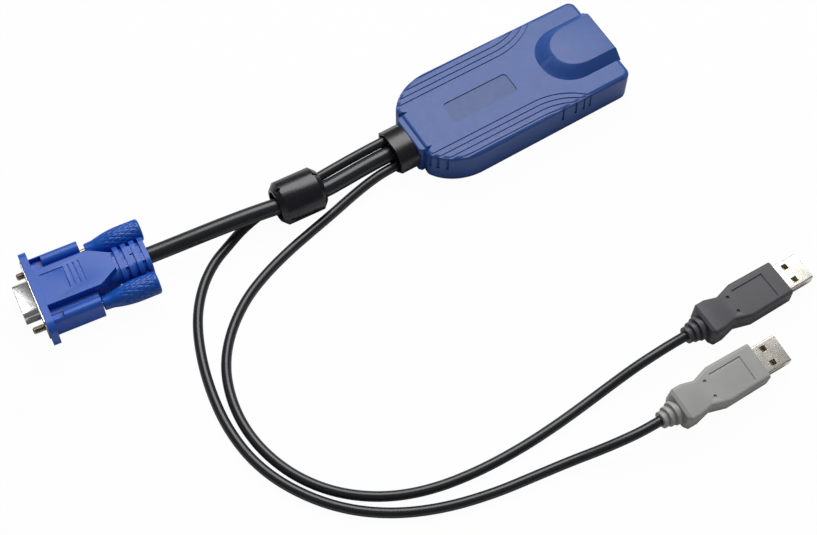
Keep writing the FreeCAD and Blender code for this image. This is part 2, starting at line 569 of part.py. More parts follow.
def make_interface_chips():
    """The chips on the board: video digitiser, processor and USB transceiver."""
    first = f"({BOARD_FRONT} + header_gap + header_length + digitiser_gap)"
    second = f"({first} + digitiser_side + processor_gap)"
    places = (("Digitiser", first, "(digitiser_side/2 - chip_row_gap)", "digitiser_side"),
              ("Processor", second, "(processor_side/2 - chip_row_gap)", "processor_side"),
              ("Transceiver", first, f"({BOARD_HALF} - chip_row_gap)", "transceiver_side"))
    joined("Compound", "interface_chips", [
        primitive("Box", name, (x, f"{top} - {side}", JACK_BASE), Length=side, Width=side,
                  Height="chip_height")
        for name, x, top, side in places])


def make_cable_header():
    """The header that the cords' wires are crimped into, with a row of wire slots."""
    body = new_body("cable_header")
    face = new_sketch(body, "HeaderOutline", "XY_Plane", JACK_BASE)
    back = f"({BOARD_FRONT} + header_gap)"
    rectangle(face, back, f"{back} + header_length", "-header_half_width", "header_half_width")
    pad(body, face, "header_height")
    slot = new_sketch(body, "WireSlot", "XY_Plane", f"{JACK_BASE} + header_height")
    first = "(-3.5*slot_pitch)"
    rectangle(slot, back, f"{back} + slot_length", f"{first} - slot_width/2", f"{first} + slot_width/2")
    step = pocket(body, slot, "slot_depth")
    spread(body, "LinearPattern", step, Direction=(axis_of(body, "Y_Axis"), [""]), Length="7*slot_pitch",
           Occurrences=8)


def make_network_jack():
    """The modular jack: moulded body, folded shield and eight spring wires."""
    front, base = "housing_length/2", JACK_BASE
    ceiling = f"({base} + jack_height - jack_ceiling)"
    body = new_body("jack_body")
    face = new_sketch(body, "JackFace", "YZ_Plane", front)
    inner = "(jack_width/2 - shield_thickness)"
    rectangle(face, f"-{inner}", inner, base, f"{base} + jack_height - shield_thickness")
    pad(body, face, "jack_length - shield_thickness", back=True)
    hole = new_sketch(body, "PlugHole", "YZ_Plane", front)
    rectangle(hole, "-plug_width/2", "plug_width/2", f"{ceiling} - plug_height", ceiling)
    pocket(body, hole, "plug_depth")
    latch = new_sketch(body, "LatchHole", "YZ_Plane", front)
    rectangle(latch, "-catch_width/2", "catch_width/2", f"{ceiling} - plug_height - catch_height", ceiling)
    pocket(body, latch, "plug_depth - catch_stop")
    shield = new_body("jack_shield")
    skin = new_sketch(shield, "ShieldFace", "YZ_Plane", front)
    rectangle(skin, "-jack_width/2", "jack_width/2", base, f"{base} + jack_height")
    pad(shield, skin, "jack_length", back=True)
    room = new_sketch(shield, "ShieldRoom", "YZ_Plane", front)
    rectangle(room, f"-{inner}", inner, base, f"{base} + jack_height - shield_thickness")
    pocket(shield, room, "jack_length - shield_thickness")
    wires = new_body("jack_contacts")
    bend = new_sketch(wires, "WireSide", "XZ_Plane", "3.5*wire_pitch - wire_size/2")
    back, low = f"({front} - wire_back)", f"({ceiling} - wire_drop)"
    outline(bend, [
        (f"{front} - wire_front", ceiling), (f"{front} - wire_bend", ceiling), (back, low),
        (back, f"{low} - wire_size"), (f"{back} + wire_size", f"{low} - wire_size")])
    step = pad(wires, bend, "wire_size")
    spread(wires, "LinearPattern", step, Direction=(axis_of(wires, "Y_Axis"), [""]),
           Length="7*wire_pitch", Occurrences=8)


# ---- cable collar and cords ------------------------------------------------------------------------

def make_cable_collar():
    """The moulded collar that holds the three cords, keyed into the housing's neck."""
    body = new_body("cable_collar")
    front = "-housing_length/2"
    top = "(collar_base + collar_height)"
    block = new_sketch(body, "CollarBlock", "YZ_Plane", front)
    bevelled(block, "collar_width/2", "collar_base", top, "collar_corner")
    pad(body, block, "collar_length", back=True)
    recess = new_sketch(body, "CollarRecess", "YZ_Plane", f"{front} - collar_length")
    bevelled(recess, "(collar_width/2 - collar_rim)", "(collar_base + collar_rim)", f"({top} - collar_rim)",
             "collar_recess_corner")
    pocket(body, recess, "collar_recess", onward=True)
    neck = new_sketch(body, "CollarNeck", "YZ_Plane", front)
    rectangle(neck, "-collar_neck_width/2", "collar_neck_width/2", "seam_level", "collar_neck_top")
    pad(body, neck, FRONT_WALL)
    flange = new_sketch(body, "CollarFlange", "YZ_Plane", f"{front} + {FRONT_WALL}")
    rectangle(flange, f"-{FLANGE_HALF}", FLANGE_HALF, "seam_level", "collar_neck_top - collar_flange_step/2")
    pad(body, flange, "collar_flange")


def cord_path(route):
    """Straight runs joined by tangent arcs, each as large as its two runs allow."""
    points = [Vector(*place) for place in route]
    edges, start, radii = [], points[0], []
    for before, corner, after in zip(points, points[1:], points[2:]):
        back, onward = (before - corner), (after - corner)
        reach = 0.45 * min(back.Length, onward.Length)
        half_turn = (math.pi - back.getAngle(onward)) / 2
        radii.append(reach / math.tan(half_turn))
        first = corner + back.normalize() * reach
        last = corner + onward.normalize() * reach
        bisector = (back + onward).normalize()
        middle = corner + bisector * (radii[-1] / math.cos(half_turn) - radii[-1])
        edges.append(Part.LineSegment(start, first).toShape())
        edges.append(Part.Arc(first, middle, last).toShape())
        start = last
    edges.append(Part.LineSegment(start, points[-1]).toShape())
    return Part.Wire(edges), radii


def make_cord(label, route, diameter):
    """One cord as a round tube along its route."""
    path, radii = cord_path(route)
    radius = size(diameter) / 2
    start, heading = Vector(*route[0]), Vector(*route[1]) - Vector(*route[0])
    ring = Part.Wire(Part.makeCircle(radius, start, heading))
    tube = path.makePipeShell([ring], True, True)
    expected = math.pi * radius ** 2 * path.Length
    print(f"{label}: length {path.Length:.1f}, smallest bend {min(radii):.1f}, "
          f"volume {tube.Volume:.1f} of {expected:.1f}")
    item = doc.addObject("Part::Feature", label.title().replace("_", ""))
    item.Label = label
    item.Shape = tube
    finished.append(item)


def make_cords():
    """The video cord and the two USB cords."""
    make_cord("video_cord", VIDEO_CORD_ROUTE, "video_cord")
    make_cord("usb_cord_grey", GREY_CORD_ROUTE, "usb_cord")
    make_cord("usb_cord_black", BLACK_CORD_ROUTE, "usb_cord")


# ---- clip-on ferrite -------------------------------------------------------------------------------

def ferrite_place():
    """Where the ferrite lies: along the video cord, with its snap side rolled a little up."""
    return Placement(Vector(size("ferrite_x"), size("ferrite_y"), size("case_radius")),
                     Rotation(size("ferrite_turn"), 0, size("ferrite_roll")))


def cut_half(body, keep_upper):
    """Takes away the half below or above the split, with half of its gap."""
    face = new_sketch(body, body.Name + "Split", "YZ_Plane", "-case_length")
    low, high = ("-case_radius - 3", "split_gap/2") if keep_upper else ("-split_gap/2", "case_radius + 3")
    rectangle(face, "-case_radius - 3", "case_radius + 3", low, high)
    pocket(body, face, "2*case_length", onward=True)


def make_ferrite_case(label, upper):
    """Half of the ferrite's plastic case, with hinge knuckles, crown notches and the latch."""
    body = new_body(label)
    side = new_sketch(body, label.title().replace("_", "") + "Side", "XZ_Plane")
    half, rim = "case_length/2", "(case_radius - case_bevel)"
    room = "(case_radius - case_wall)"
    outline(side, [
        (f"-{half}", "case_bore"), (f"-{half}", rim), (f"-{half} + case_bevel", "case_radius"),
        (f"{half} - case_bevel", "case_radius"), (half, rim), (half, "case_bore"),
        (f"{half} - end_wall", "case_bore"), (f"{half} - end_wall", room),
        (f"-{half} + end_wall", room), (f"-{half} + end_wall", "case_bore")])
    turned(body, side, "H_Axis")
    if upper:
        for end in ("-", ""):
            notch = new_sketch(body, "CrownNotch", "XY_Plane", "(case_radius - crown_notch_depth)")
            for row in ("crown_notch_near", "crown_notch_far"):
                rectangle(notch, f"{end}({half} + 1)", f"{end}({half} - crown_notch_length)",
                          f"{row} - crown_notch_width/2", f"{row} + crown_notch_width/2")
            pocket(body, notch, "case_radius", onward=True)
    cut_half(body, upper)
    add_knuckles(body, upper)
    add_latch(body, upper)
    body.Placement = ferrite_place()


HINGE_Y = "(case_radius + hinge_gap + hinge_radius)"


def add_knuckles(body, upper):
    """The lower half has two outer knuckles and the pin, the upper half the middle knuckle."""
    near, far = "knuckle_length/2", "(knuckle_length/2 + knuckle_gap)"
    spans = [(f"-{near}", "knuckle_length")] if upper else [
        (far, "knuckle_length"), (f"-{far} - knuckle_length", "knuckle_length")]
    for start, length in spans:
        knuckle = new_sketch(body, "Knuckle", "YZ_Plane", start)
        circle(knuckle, HINGE_Y, "0", "hinge_radius")
        pad(body, knuckle, length)
        web = new_sketch(body, "Web", "YZ_Plane", start)
        low, high = ("split_gap/2", "hinge_radius") if upper else ("-hinge_radius", "-split_gap/2")
        rectangle(web, "case_radius - case_wall/2", HINGE_Y, low, high)
        pad(body, web, length)
    reach = f"({far} + knuckle_length/2)"
    pin = new_sketch(body, "HingePin", "YZ_Plane", f"-{reach}")
    circle(pin, HINGE_Y, "0", "hinge_pin_radius + pin_clearance" if upper else "hinge_pin_radius")
    if upper:
        pocket(body, pin, f"2*{reach}", onward=True)
    else:
        pad(body, pin, f"2*{reach}")


def add_latch(body, upper):
    """The snap on the near side: a curved tab on the upper half in a recess of the lower half."""
    gap = "0" if upper else "latch_gap"
    outer = "(case_radius + latch_stand)"
    inner = f"(case_radius - latch_depth - {gap})"
    low = f"(latch_turn*1deg + 2*{gap}*1deg)"
    high = "(latch_root_turn*1deg)"
    start = f"latch_at - latch_width/2 - {gap}"
    face = new_sketch(body, "Latch", "YZ_Plane", start)
    outline(face, [
        (f"-{inner}*cos({high})", f"{inner}*sin({high})", inner, -1),
        (f"-{outer}*cos({high})", f"{outer}*sin({high})"),
        (f"-{outer}*cos({low})", f"-{outer}*sin({low})", outer, 1),
        (f"-{inner}*cos({low})", f"-{inner}*sin({low})")])
    if upper:
        pad(body, face, "latch_width")
    else:
        pocket(body, face, f"latch_width + 2*{gap}", onward=True)


def make_ferrite_core(label, upper):
    """Half of the sintered core."""
    body = new_body(label)
    side = new_sketch(body, label.title().replace("_", "") + "Side", "XZ_Plane")
    half = "(case_length/2 - end_wall - core_gap)"
    rectangle(side, f"-{half}", half, "core_bore", "case_radius - case_wall - core_gap")
    turned(body, side, "H_Axis")
    cut_half(body, upper)
    body.Placement = ferrite_place()


def make_ferrite():
    """Both halves of the case and of the core."""
    make_ferrite_case("ferrite_case_lower", False)
    make_ferrite_case("ferrite_case_upper", True)
    make_ferrite_core("ferrite_core_lower", False)
    make_ferrite_core("ferrite_core_upper", True)


# ---- video plug ------------------------------------------------------------------------------------

def video_place():
    """The plug stands on its flange's front edge, with its cord end a little raised."""
    pitch = size("video_pitch")
    rise = size("flange_height") / 2 * math.cos(math.radians(pitch))
    return Placement(Vector(size("video_x"), size("video_y"), rise), Rotation(size("video_turn"), pitch, 0))


def d_outline(sketch, inset="0"):
    """The D shape of the plug's shell, wide side up, with rounded corners."""
    high = f"(shell_height/2 - {inset})"
    wide = f"(shell_width/2 - {inset})"
    lean, radius = "shell_lean", f"(shell_corner - {inset})"
    tall = f"(2*{high})"
    slope = f"sqrt({tall}^2 + {lean}^2)"
    top_cut = f"({radius}*({slope} + {lean})/{tall})"
    low_cut = f"({radius}*({slope} - {lean})/{tall})"
    narrow = f"({wide} - {lean})"
    top_side = (f"({wide} - {top_cut}*{lean}/{slope})", f"({high} - {top_cut}*{tall}/{slope})")
    low_side = (f"({narrow} + {low_cut}*{lean}/{slope})", f"(-{high} + {low_cut}*{tall}/{slope})")
    outline(sketch, [
        (f"{narrow} - {low_cut}", f"-{high}"), (*low_side, radius, 1), top_side,
        (f"{wide} - {top_cut}", high, radius, 1), (f"-{wide} + {top_cut}", high),
        (f"-{top_side[0]}", top_side[1], radius, 1), (f"-{low_side[0]}", low_side[1]),
        (f"-{narrow} + {low_cut}", f"-{high}", radius, 1)])


def make_video_hood():
    """The moulded hood: flange, waisted middle, screw channels and ribbed strain relief."""
    body = new_body("video_hood")
    half_w, half_h = "flange_width/2", "flange_height/2"
    flange = new_sketch(body, "Flange", "YZ_Plane")
    rounded(flange, f"-{half_w}", half_w, f"-{half_h}", half_h, "flange_corner")
    pad(body, flange, "flange_thickness")
    middle = new_sketch(body, "HoodMiddle", "XY_Plane", "-hood_half_height")
    outline(middle, [
        ("flange_thickness/2", "-hood_half_width"), ("hood_length", "-hood_half_width"),
        ("hood_taper_end", "-hood_taper_half"), ("hood_taper_end", "hood_taper_half"),
        ("hood_length", "hood_half_width"), ("flange_thickness/2", "hood_half_width")])
    pad(body, middle, "2*hood_half_height")
    trench = new_sketch(body, "Trench", "YZ_Plane", "flange_thickness/2")
    rectangle(trench, "-channel_inner - channel_notch_inset", "channel_inner + channel_notch_inset", "-trench_half_height", "trench_half_height")
    pad(body, trench, "channel_length - flange_thickness/2")
    channels = new_sketch(body, "Channels", "YZ_Plane", "flange_thickness/2")
    for low, high in (("channel_inner", "channel_outer"), ("-channel_outer", "-channel_inner")):
        rounded(channels, low, high, "-channel_half_height", "channel_half_height", "channel_corner")
    pad(body, channels, "channel_length - flange_thickness/2")
    notches = new_sketch(body, "ChannelNotches", "XY_Plane", "channel_half_height")
    for low, high in (("channel_inner", "channel_outer - channel_notch_inset"),
                      ("-channel_outer + channel_notch_inset", "-channel_inner")):
        rectangle(notches, "flange_thickness", "flange_thickness + channel_notch_length", low, high)
    pocket(body, notches, "channel_notch_depth")
    core = new_sketch(body, "ReliefCore", "YZ_Plane", "hood_length")
    rounded(core, "-relief_core_half_width", "relief_core_half_width", "-relief_core_half_height",
            "relief_core_half_height", "relief_corner")
    pad(body, core, "relief_end - hood_length")
    for index in range(4):
        at = f"relief_end - rib_length - {3 - index}*rib_pitch"
        rib = new_sketch(body, "Rib", "YZ_Plane", at)
        rounded(rib, "-relief_half_width", "relief_half_width", "-relief_half_height",
                "relief_half_height", "relief_corner")
        pad(body, rib, "rib_length")
        if index:
            side = "-" if index % 2 else ""
            bar = new_sketch(body, "RibBar", "YZ_Plane", f"{at} - rib_pitch + rib_length/2")
            rectangle(bar, f"{side}rib_bar_inner", f"{side}rib_bar_outer",
                      "-relief_half_height + rib_bar_inset", "relief_half_height - rib_bar_inset")
            pad(body, bar, "rib_pitch")
    for name, radius, reach in (("ThreadRooms", "thread_radius", "flange_thickness"),
                                ("ShankBores", "shank_radius", "channel_length")):
        bores = new_sketch(body, name, "YZ_Plane")
        for y in ("screw_spacing/2", "-screw_spacing/2"):
            circle(bores, y, "0", f"{radius} + shank_clearance")
        pocket(body, bores, reach, onward=True)
    engrave_hood(body)
    body.Placement = video_place()


def engrave_hood(body):
    """The angle line and the parallel lines on the hood's top."""
    long_line = new_sketch(body, "AngleLine", "XY_Plane", "hood_half_height")
    rectangle(long_line, "line_front", "line_first", "line_top - line_width", "line_top")
    pocket(body, long_line, "line_depth")
    lines = new_sketch(body, "CrossLines", "XY_Plane", "hood_half_height")
    for index in range(4):
        x = f"(line_first + {index}*line_pitch)"
        rectangle(lines, f"{x} - line_width/2", f"{x} + line_width/2", "line_bottom", "line_top")
    pocket(body, lines, "line_depth")


def make_video_shell():
    """The stamped plate and D-shaped shell, the insulator inside it and its fifteen pins."""
    body = new_body("video_shell")
    plate = new_sketch(body, "Plate", "YZ_Plane")
    rounded(plate, "-plate_width/2", "plate_width/2", "-plate_height/2", "plate_height/2", "plate_corner")
    pad(body, plate, "plate_thickness", back=True)
    face = new_sketch(body, "ShellOutside", "YZ_Plane", "-plate_thickness/2")
    d_outline(face)
    pad(body, face, "plate_thickness/2 + shell_reach", back=True)
    room = new_sketch(body, "ShellInside", "YZ_Plane", "-plate_thickness - shell_reach")
    d_outline(room, "shell_wall")
    pocket(body, room, "plate_thickness + shell_reach", onward=True)
    bores = new_sketch(body, "PlateHoles", "YZ_Plane", "-plate_thickness")
    for y in ("screw_spacing/2", "-screw_spacing/2"):
        circle(bores, y, "0", "thread_radius + shank_clearance")
    pocket(body, bores, "plate_thickness", onward=True)
    body.Placement = video_place()
    block = new_body("video_insulator")
    face = new_sketch(block, "InsulatorFace", "YZ_Plane")
    d_outline(face, "shell_wall")
    pad(block, face, "plate_thickness + insulator_reach", back=True)
    block.Placement = video_place()
    pins = []
    foot = "-plate_thickness - insulator_reach - pin_reach"
    for row in (-1, 0, 1):
        for column in range(5):
            y = f"({column - 2} + {0.25 if row else -0.25})*pin_pitch"
            pins.append(primitive("Cylinder", "Pin", (foot, y, f"{row}*pin_row_pitch"),
                                  Rotation(Vector(0, 1, 0), 90), Radius="pin_radius", Height="pin_reach"))
    group = joined("Compound", "video_pins", pins)
    group.Placement = video_place()


def make_thumbscrew(side, y, slide):
    """One thumbscrew: a threaded rod moulded into a fluted knob."""
    knob = new_body(f"{side}_knob")
    start = f"(knob_start + knob_seat_gap + {slide})"
    profile = new_sketch(knob, side.title() + "KnobSide", "XY_Plane")
    tail, swell = f"({start} + knob_length)", f"({start} + knob_swell_start)"
    step_radius = "(knob_front_radius + knob_front_step)"
    rise = f"(knob_rear_radius - {step_radius})"
    outline(profile, [
        (start, "0"), (tail, "0"), (tail, "knob_rear_radius - knob_end_round"),
        (f"{tail} - knob_end_round", "knob_rear_radius", "knob_end_round", 1),
        (f"{swell} + knob_swell_run", "knob_rear_radius"),
        (swell, step_radius, f"((knob_swell_run^2 + {rise}^2)/(2*{rise}))", 1), (start, "knob_front_radius")])
    turned(knob, profile, "H_Axis")
    flute = new_sketch(knob, side.title() + "Flute", "YZ_Plane", f"{start} + knob_length")
    rectangle(flute, "-knob_flute_width/2", "knob_flute_width/2", "knob_rear_radius - knob_flute_depth",
              "knob_rear_radius + knob_flute_depth")
    step = pocket(knob, flute, "knob_length - knob_neck_length")
    spread(knob, "PolarPattern", step, Axis=(axis_of(knob, "X_Axis"), [""]), Angle=360.0, Occurrences=16)
    hole = new_sketch(knob, side.title() + "RodHole", "YZ_Plane", start)
    circle(hole, "0", "0", "shank_radius")
    pocket(knob, hole, "knob_length/2", onward=True)
    rod = new_body(f"{side}_screw")
    line = new_sketch(rod, side.title() + "RodSide", "XY_Plane")
    tip = f"(-thread_reach + {slide})"
    end = f"({start} + knob_length/2)"
    outline(line, [
        (tip, "0"), (end, "0"), (end, "shank_radius"), (f"{tip} + thread_length", "shank_radius"),
        (f"{tip} + thread_length", "thread_radius"), (f"{tip} + thread_point", "thread_radius"),
        (tip, "thread_radius - 0.8*thread_point")])
    turned(rod, line, "H_Axis")
    for piece in (knob, rod):
        piece.Placement = video_place() * Placement(Vector(0, size(y), 0), Rotation())


def make_video_plug():
    """The whole video plug."""
    make_video_hood()
    make_video_shell()
    make_thumbscrew("near", "-screw_spacing/2", "0")
    make_thumbscrew("far", "screw_spacing/2", "slid_back")


# ---- USB plugs -------------------------------------------------------------------------------------

def usb_place(colour):
    """Where one plug lies."""
    return Placement(Vector(*(size(f"{colour}_{letter}") for letter in "xyz")),
                     Rotation(size(f"{colour}_turn"), size("usb_pitch"), size(f"{colour}_roll")))


def make_usb_grip(colour):
    """The moulded grip: block, waist, flared collar and stepped strain relief."""
    body = new_body(f"{colour}_grip")
    sections = []
    for at, half_y, half_z in (
            ("0", "grip_front_half", "grip_half_height"), ("grip_wide_at", "grip_wide_half", "grip_half_height"),
            ("grip_neck_at", "grip_neck_half", "grip_half_height"),
            ("grip_waist_at", "grip_waist_half", "waist_half_height"),
            ("grip_flare_at", "grip_flare_half", "flare_half_height"),
            ("(grip_length - grip_end_length)", "grip_flare_half", "flare_half_height"),
            ("grip_length", "(grip_flare_half - grip_end_inset)", "(flare_half_height - grip_end_inset/2)")):
        section = new_sketch(body, "Section", "YZ_Plane", f"-{at}")
        rounded(section, f"-{half_y}", half_y, f"-{half_z}", half_z, "grip_corner")
        sections.append(section)
    loft(body, *sections)
    relief = new_sketch(body, "Relief", "XY_Plane")
    outline(relief, relief_corners())
    turned(body, relief, "H_Axis")
    root = new_sketch(body, "ShellRoot", "YZ_Plane")
    rectangle(root, "-usb_width/2", "usb_width/2", "-usb_height/2", "usb_height/2")
    pocket(body, root, "usb_root")
    frame = new_sketch(body, "FrameLine", "XY_Plane", "grip_half_height")
    back, front, far = "-frame_line_back", "-frame_line_front", "frame_line_far"
    outline(frame, [
        (back, far), (back, f"{far} - frame_line_width"), (f"{front} - frame_line_width", f"{far} - frame_line_width"),
        (f"{front} - frame_line_width", "-frame_line_near"), (front, "-frame_line_near"), (front, far)])
    pocket(body, frame, "frame_line_depth")
    dimples = new_sketch(body, "Dimples", "XY_Plane", "grip_half_height")
    for row in ("-dimple_row", "dimple_row"):
        circle(dimples, "-dimple_at", row, "dimple_radius")
    pocket(body, dimples, "frame_line_depth*1.5")
    body.Placement = usb_place(colour)


def relief_corners():
    """Half of the strain relief's outline: ribs that step down to the cord."""
    start, length = "grip_length", "usb_relief_length"
    corners = [(f"-{start} - {length}", "0")]
    for index in reversed(range(3)):
        outer = f"(usb_relief_start - ({index})*(usb_relief_start - usb_relief_end)/2)"
        back = f"-{start} - {length} + ({2 - index})*usb_rib_pitch"
        corners += [(back, outer), (f"{back} + usb_rib_length", outer),
                    (f"{back} + usb_rib_length", f"{outer} - usb_rib_step")]
        if index:
            corners.append((f"{back} + usb_rib_pitch", f"{outer} - usb_rib_step"))
    corners += [(f"-{start} + usb_relief_seat", "usb_relief_start - usb_rib_step"),
                (f"-{start} + usb_relief_seat", "0")]
    return corners


def make_usb_shell(colour):
    """The folded metal shell, with two windows in its top and two in its underside."""
    body = new_body(f"{colour}_shell")
    face = new_sketch(body, "ShellFace", "YZ_Plane", "-usb_root")
    rounded(face, "-usb_width/2", "usb_width/2", "-usb_height/2", "usb_height/2", "usb_corner")
    pad(body, face, "usb_root + usb_reach")
    room = new_sketch(body, "ShellRoom", "YZ_Plane", "-usb_root")
    inner_y, inner_z = "(usb_width/2 - usb_wall)", "(usb_height/2 - usb_wall)"
    rounded(room, f"-{inner_y}", inner_y, f"-{inner_z}", inner_z, "usb_inner_corner")
    pocket(body, room, "usb_root + usb_reach", onward=True)
    windows = new_sketch(body, "Windows", "XY_Plane", "-usb_height")
    for row in ("-", ""):
        rectangle(windows, "window_at - window_size/2", "window_at + window_size/2",
                  f"{row}window_row - window_size/2", f"{row}window_row + window_size/2")
    pocket(body, windows, "2*usb_height", onward=True)
    body.Placement = usb_place(colour)


def make_usb_tongue(colour):
    """The insulator tongue and the four contact strips that lie on it."""
    inner_y, floor = "(usb_width/2 - usb_wall - tongue_side_gap)", "(-usb_height/2 + usb_wall)"
    tongue = new_body(f"{colour}_tongue")
    face = new_sketch(tongue, "TongueFace", "XY_Plane", floor)
    rectangle(face, "-usb_root", "usb_reach - tongue_back", f"-{inner_y}", inner_y)
    pad(tongue, face, "tongue_thickness")
    strips = []
    for row, trim in ((-1.5, 0), (-0.5, 1), (0.5, 1), (1.5, 0)):
        strips.append(primitive(
            "Box", "Strip", (f"usb_reach - tongue_back - contact_setback - {trim}*contact_stagger - contact_length",
                             f"{row}*contact_pitch - contact_width/2", f"{floor} + tongue_thickness"),
            Length="contact_length", Width="contact_width", Height="contact_thickness"))
    group = joined("Compound", f"{colour}_contacts", strips)
    tongue.Placement = group.Placement = usb_place(colour)


def make_usb_plugs():
    """Both USB plugs."""
    for colour in ("black", "grey"):
        make_usb_grip(colour)
        make_usb_shell(colour)
        make_usb_tongue(colour)


# ---- build, check and write ------------------------------------------------------------------------

for build_piece in (
        make_housing_top, make_housing_bottom, make_housing_screws, make_circuit_board, make_interface_chips,
        make_cable_header, make_network_jack, make_cable_collar, make_cords, make_ferrite, make_video_plug,
        make_usb_plugs):
    build_piece()
doc.recompute()

for item in doc.Objects:
    if {"Invalid", "Error"} & set(item.State):
        raise RuntimeError(f"{item.Label} failed: {item.State}")
os.makedirs("parts", exist_ok=True)
for item in finished:
    if item.Shape.isNull() or not item.Shape.isValid():
        raise RuntimeError(f"{item.Label} has no valid shape")
    item.Shape.exportStep(f"parts/{item.Label}.step")
    box = item.Shape.BoundBox
    print(f"{item.Label}: {len(item.Shape.Solids)} solids, {item.Shape.Volume:.1f} mm3, "
          f"z {box.ZMin:.2f} to {box.ZMax:.2f}")
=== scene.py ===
"""Looks of a KVM interface dongle: housing, collar, cords, clip-on ferrite, video plug and USB plugs."""
import json
import math

import bmesh
import bpy
from bpy.props import FloatProperty, FloatVectorProperty, IntProperty, PointerProperty
from mathutils import Matrix, Vector


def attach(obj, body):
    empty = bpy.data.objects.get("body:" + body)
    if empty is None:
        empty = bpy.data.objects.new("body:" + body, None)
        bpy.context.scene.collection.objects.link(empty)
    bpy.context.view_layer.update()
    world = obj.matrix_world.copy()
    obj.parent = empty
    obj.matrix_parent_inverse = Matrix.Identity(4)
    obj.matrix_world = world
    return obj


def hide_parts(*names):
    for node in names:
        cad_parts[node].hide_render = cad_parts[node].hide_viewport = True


bl_info = {
    "name": "KVM Dongle",
    "version": (1, 0, 0),
    "blender": (4, 5, 0),
    "location": "View3D > Sidebar > Dongle",
    "description": "Builds the dongle's visible pieces, finishes and stage",
    "category": "Object",
}

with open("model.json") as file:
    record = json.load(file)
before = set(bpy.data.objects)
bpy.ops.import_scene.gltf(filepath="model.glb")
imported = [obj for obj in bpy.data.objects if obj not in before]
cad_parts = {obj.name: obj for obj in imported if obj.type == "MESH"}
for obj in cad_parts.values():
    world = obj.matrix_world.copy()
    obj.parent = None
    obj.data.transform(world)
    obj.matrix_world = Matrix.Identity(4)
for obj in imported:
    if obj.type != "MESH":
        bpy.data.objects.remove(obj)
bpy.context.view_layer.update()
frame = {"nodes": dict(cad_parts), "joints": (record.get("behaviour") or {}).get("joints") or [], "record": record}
MM = 0.001
MODULE = "module"

VIDEO_CORD_ROUTE = [
    (-0.05242, 0.0004, 0.0076), (-0.0595, 0.0004, 0.0076), (-0.068, -0.00005, 0.0079),
    (-0.077, -0.00075, 0.00825), (-0.086, -0.0014, 0.0087), (-0.096, -0.00072, 0.00975),
    (-0.106, 0.00055, 0.0107), (-0.117, 0.0022, 0.0109), (-0.128, 0.00377, 0.0106),
    (-0.139, 0.00526, 0.01005), (-0.1494, 0.00662, 0.00946), (-0.15929, 0.0079, 0.00911)]
GREY_CORD_ROUTE = [
    (-0.05242, 0.005, 0.0105), (-0.0595, 0.005, 0.0105), (-0.068, 0.00495, 0.0102), (-0.077, 0.0047, 0.0099),
    (-0.086, 0.00432, 0.0095), (-0.096, 0.00474, 0.00775), (-0.106, 0.00412, 0.0061), (-0.114, 0.004, 0.004),
    (-0.1215, 0.0027, 0.0025), (-0.129, -0.0004, 0.002), (-0.1378, -0.0044, 0.002), (-0.147, -0.0118, 0.002),
    (-0.1555, -0.023, 0.002), (-0.1618, -0.0375, 0.002), (-0.1662, -0.0535, 0.002), (-0.1684, -0.071, 0.002),
    (-0.1666, -0.089, 0.002), (-0.1598, -0.1055, 0.002), (-0.1488, -0.1205, 0.002), (-0.1343, -0.132, 0.002),
    (-0.117, -0.1399, 0.002), (-0.098, -0.1446, 0.002), (-0.08, -0.1468, 0.002), (-0.066, -0.149, 0.0031),
    (-0.056, -0.1516, 0.0054), (-0.0469, -0.1536, 0.0077), (-0.0386, -0.15456, 0.00845),
    (-0.03083, -0.15429, 0.00804)]
BLACK_CORD_ROUTE = [
    (-0.05242, -0.0043, 0.0048), (-0.0595, -0.0043, 0.0048), (-0.068, -0.0053, 0.0043),
    (-0.077, -0.0069, 0.0032), (-0.087, -0.0092, 0.0022), (-0.098, -0.0118, 0.002), (-0.11, -0.0149, 0.002),
    (-0.1225, -0.0191, 0.002), (-0.135, -0.025, 0.002), (-0.147, -0.0345, 0.002), (-0.156, -0.046, 0.002),
    (-0.1611, -0.0595, 0.002), (-0.1629, -0.074, 0.002), (-0.161, -0.0885, 0.002), (-0.1555, -0.1026, 0.002),
    (-0.146, -0.1153, 0.002), (-0.1325, -0.1253, 0.002), (-0.1165, -0.1314, 0.002), (-0.098, -0.1341, 0.002),
    (-0.079, -0.1344, 0.002), (-0.062, -0.1332, 0.002), (-0.048, -0.1316, 0.0022), (-0.036, -0.1306, 0.0039),
    (-0.0254, -0.13015, 0.0062), (-0.0169, -0.13005, 0.0075), (-0.0092, -0.12964, 0.00753),
    (-0.00173, -0.12937, 0.00714)]
# for each cord: the CAD node that it stands for, its route, its length in metres and the pieces on it
CORDS = {
    "video_lead": ("video_cord", VIDEO_CORD_ROUTE, 0.1077, (
        "collar_moulding", "hood_moulding", "video_plate", "video_insulator", "video_pins", "near_grip",
        "far_grip", "near_rod", "far_rod", "ferrite_base", "ferrite_lid_case", "ferrite_core_lower",
        "ferrite_core_upper")),
    "grey_lead": ("usb_cord_grey", GREY_CORD_ROUTE, 0.3431, (
        "light_grip", "light_shell", "grey_tongue", "grey_contacts")),
    "black_lead": ("usb_cord_black", BLACK_CORD_ROUTE, 0.3392, (
        "dark_grip", "dark_shell", "black_tongue", "black_contacts"))}


# ---- settings --------------------------------------------------------------------------------------

def length(name, description, millimetres):
    """A length property, given in millimetres."""
    return FloatProperty(name=name, description=description, unit="LENGTH", default=millimetres * MM)


def colour(name, description, value):
    """A colour property."""
    return FloatVectorProperty(name=name, description=description, subtype="COLOR", size=3, min=0.0, max=1.0,
                               default=value)


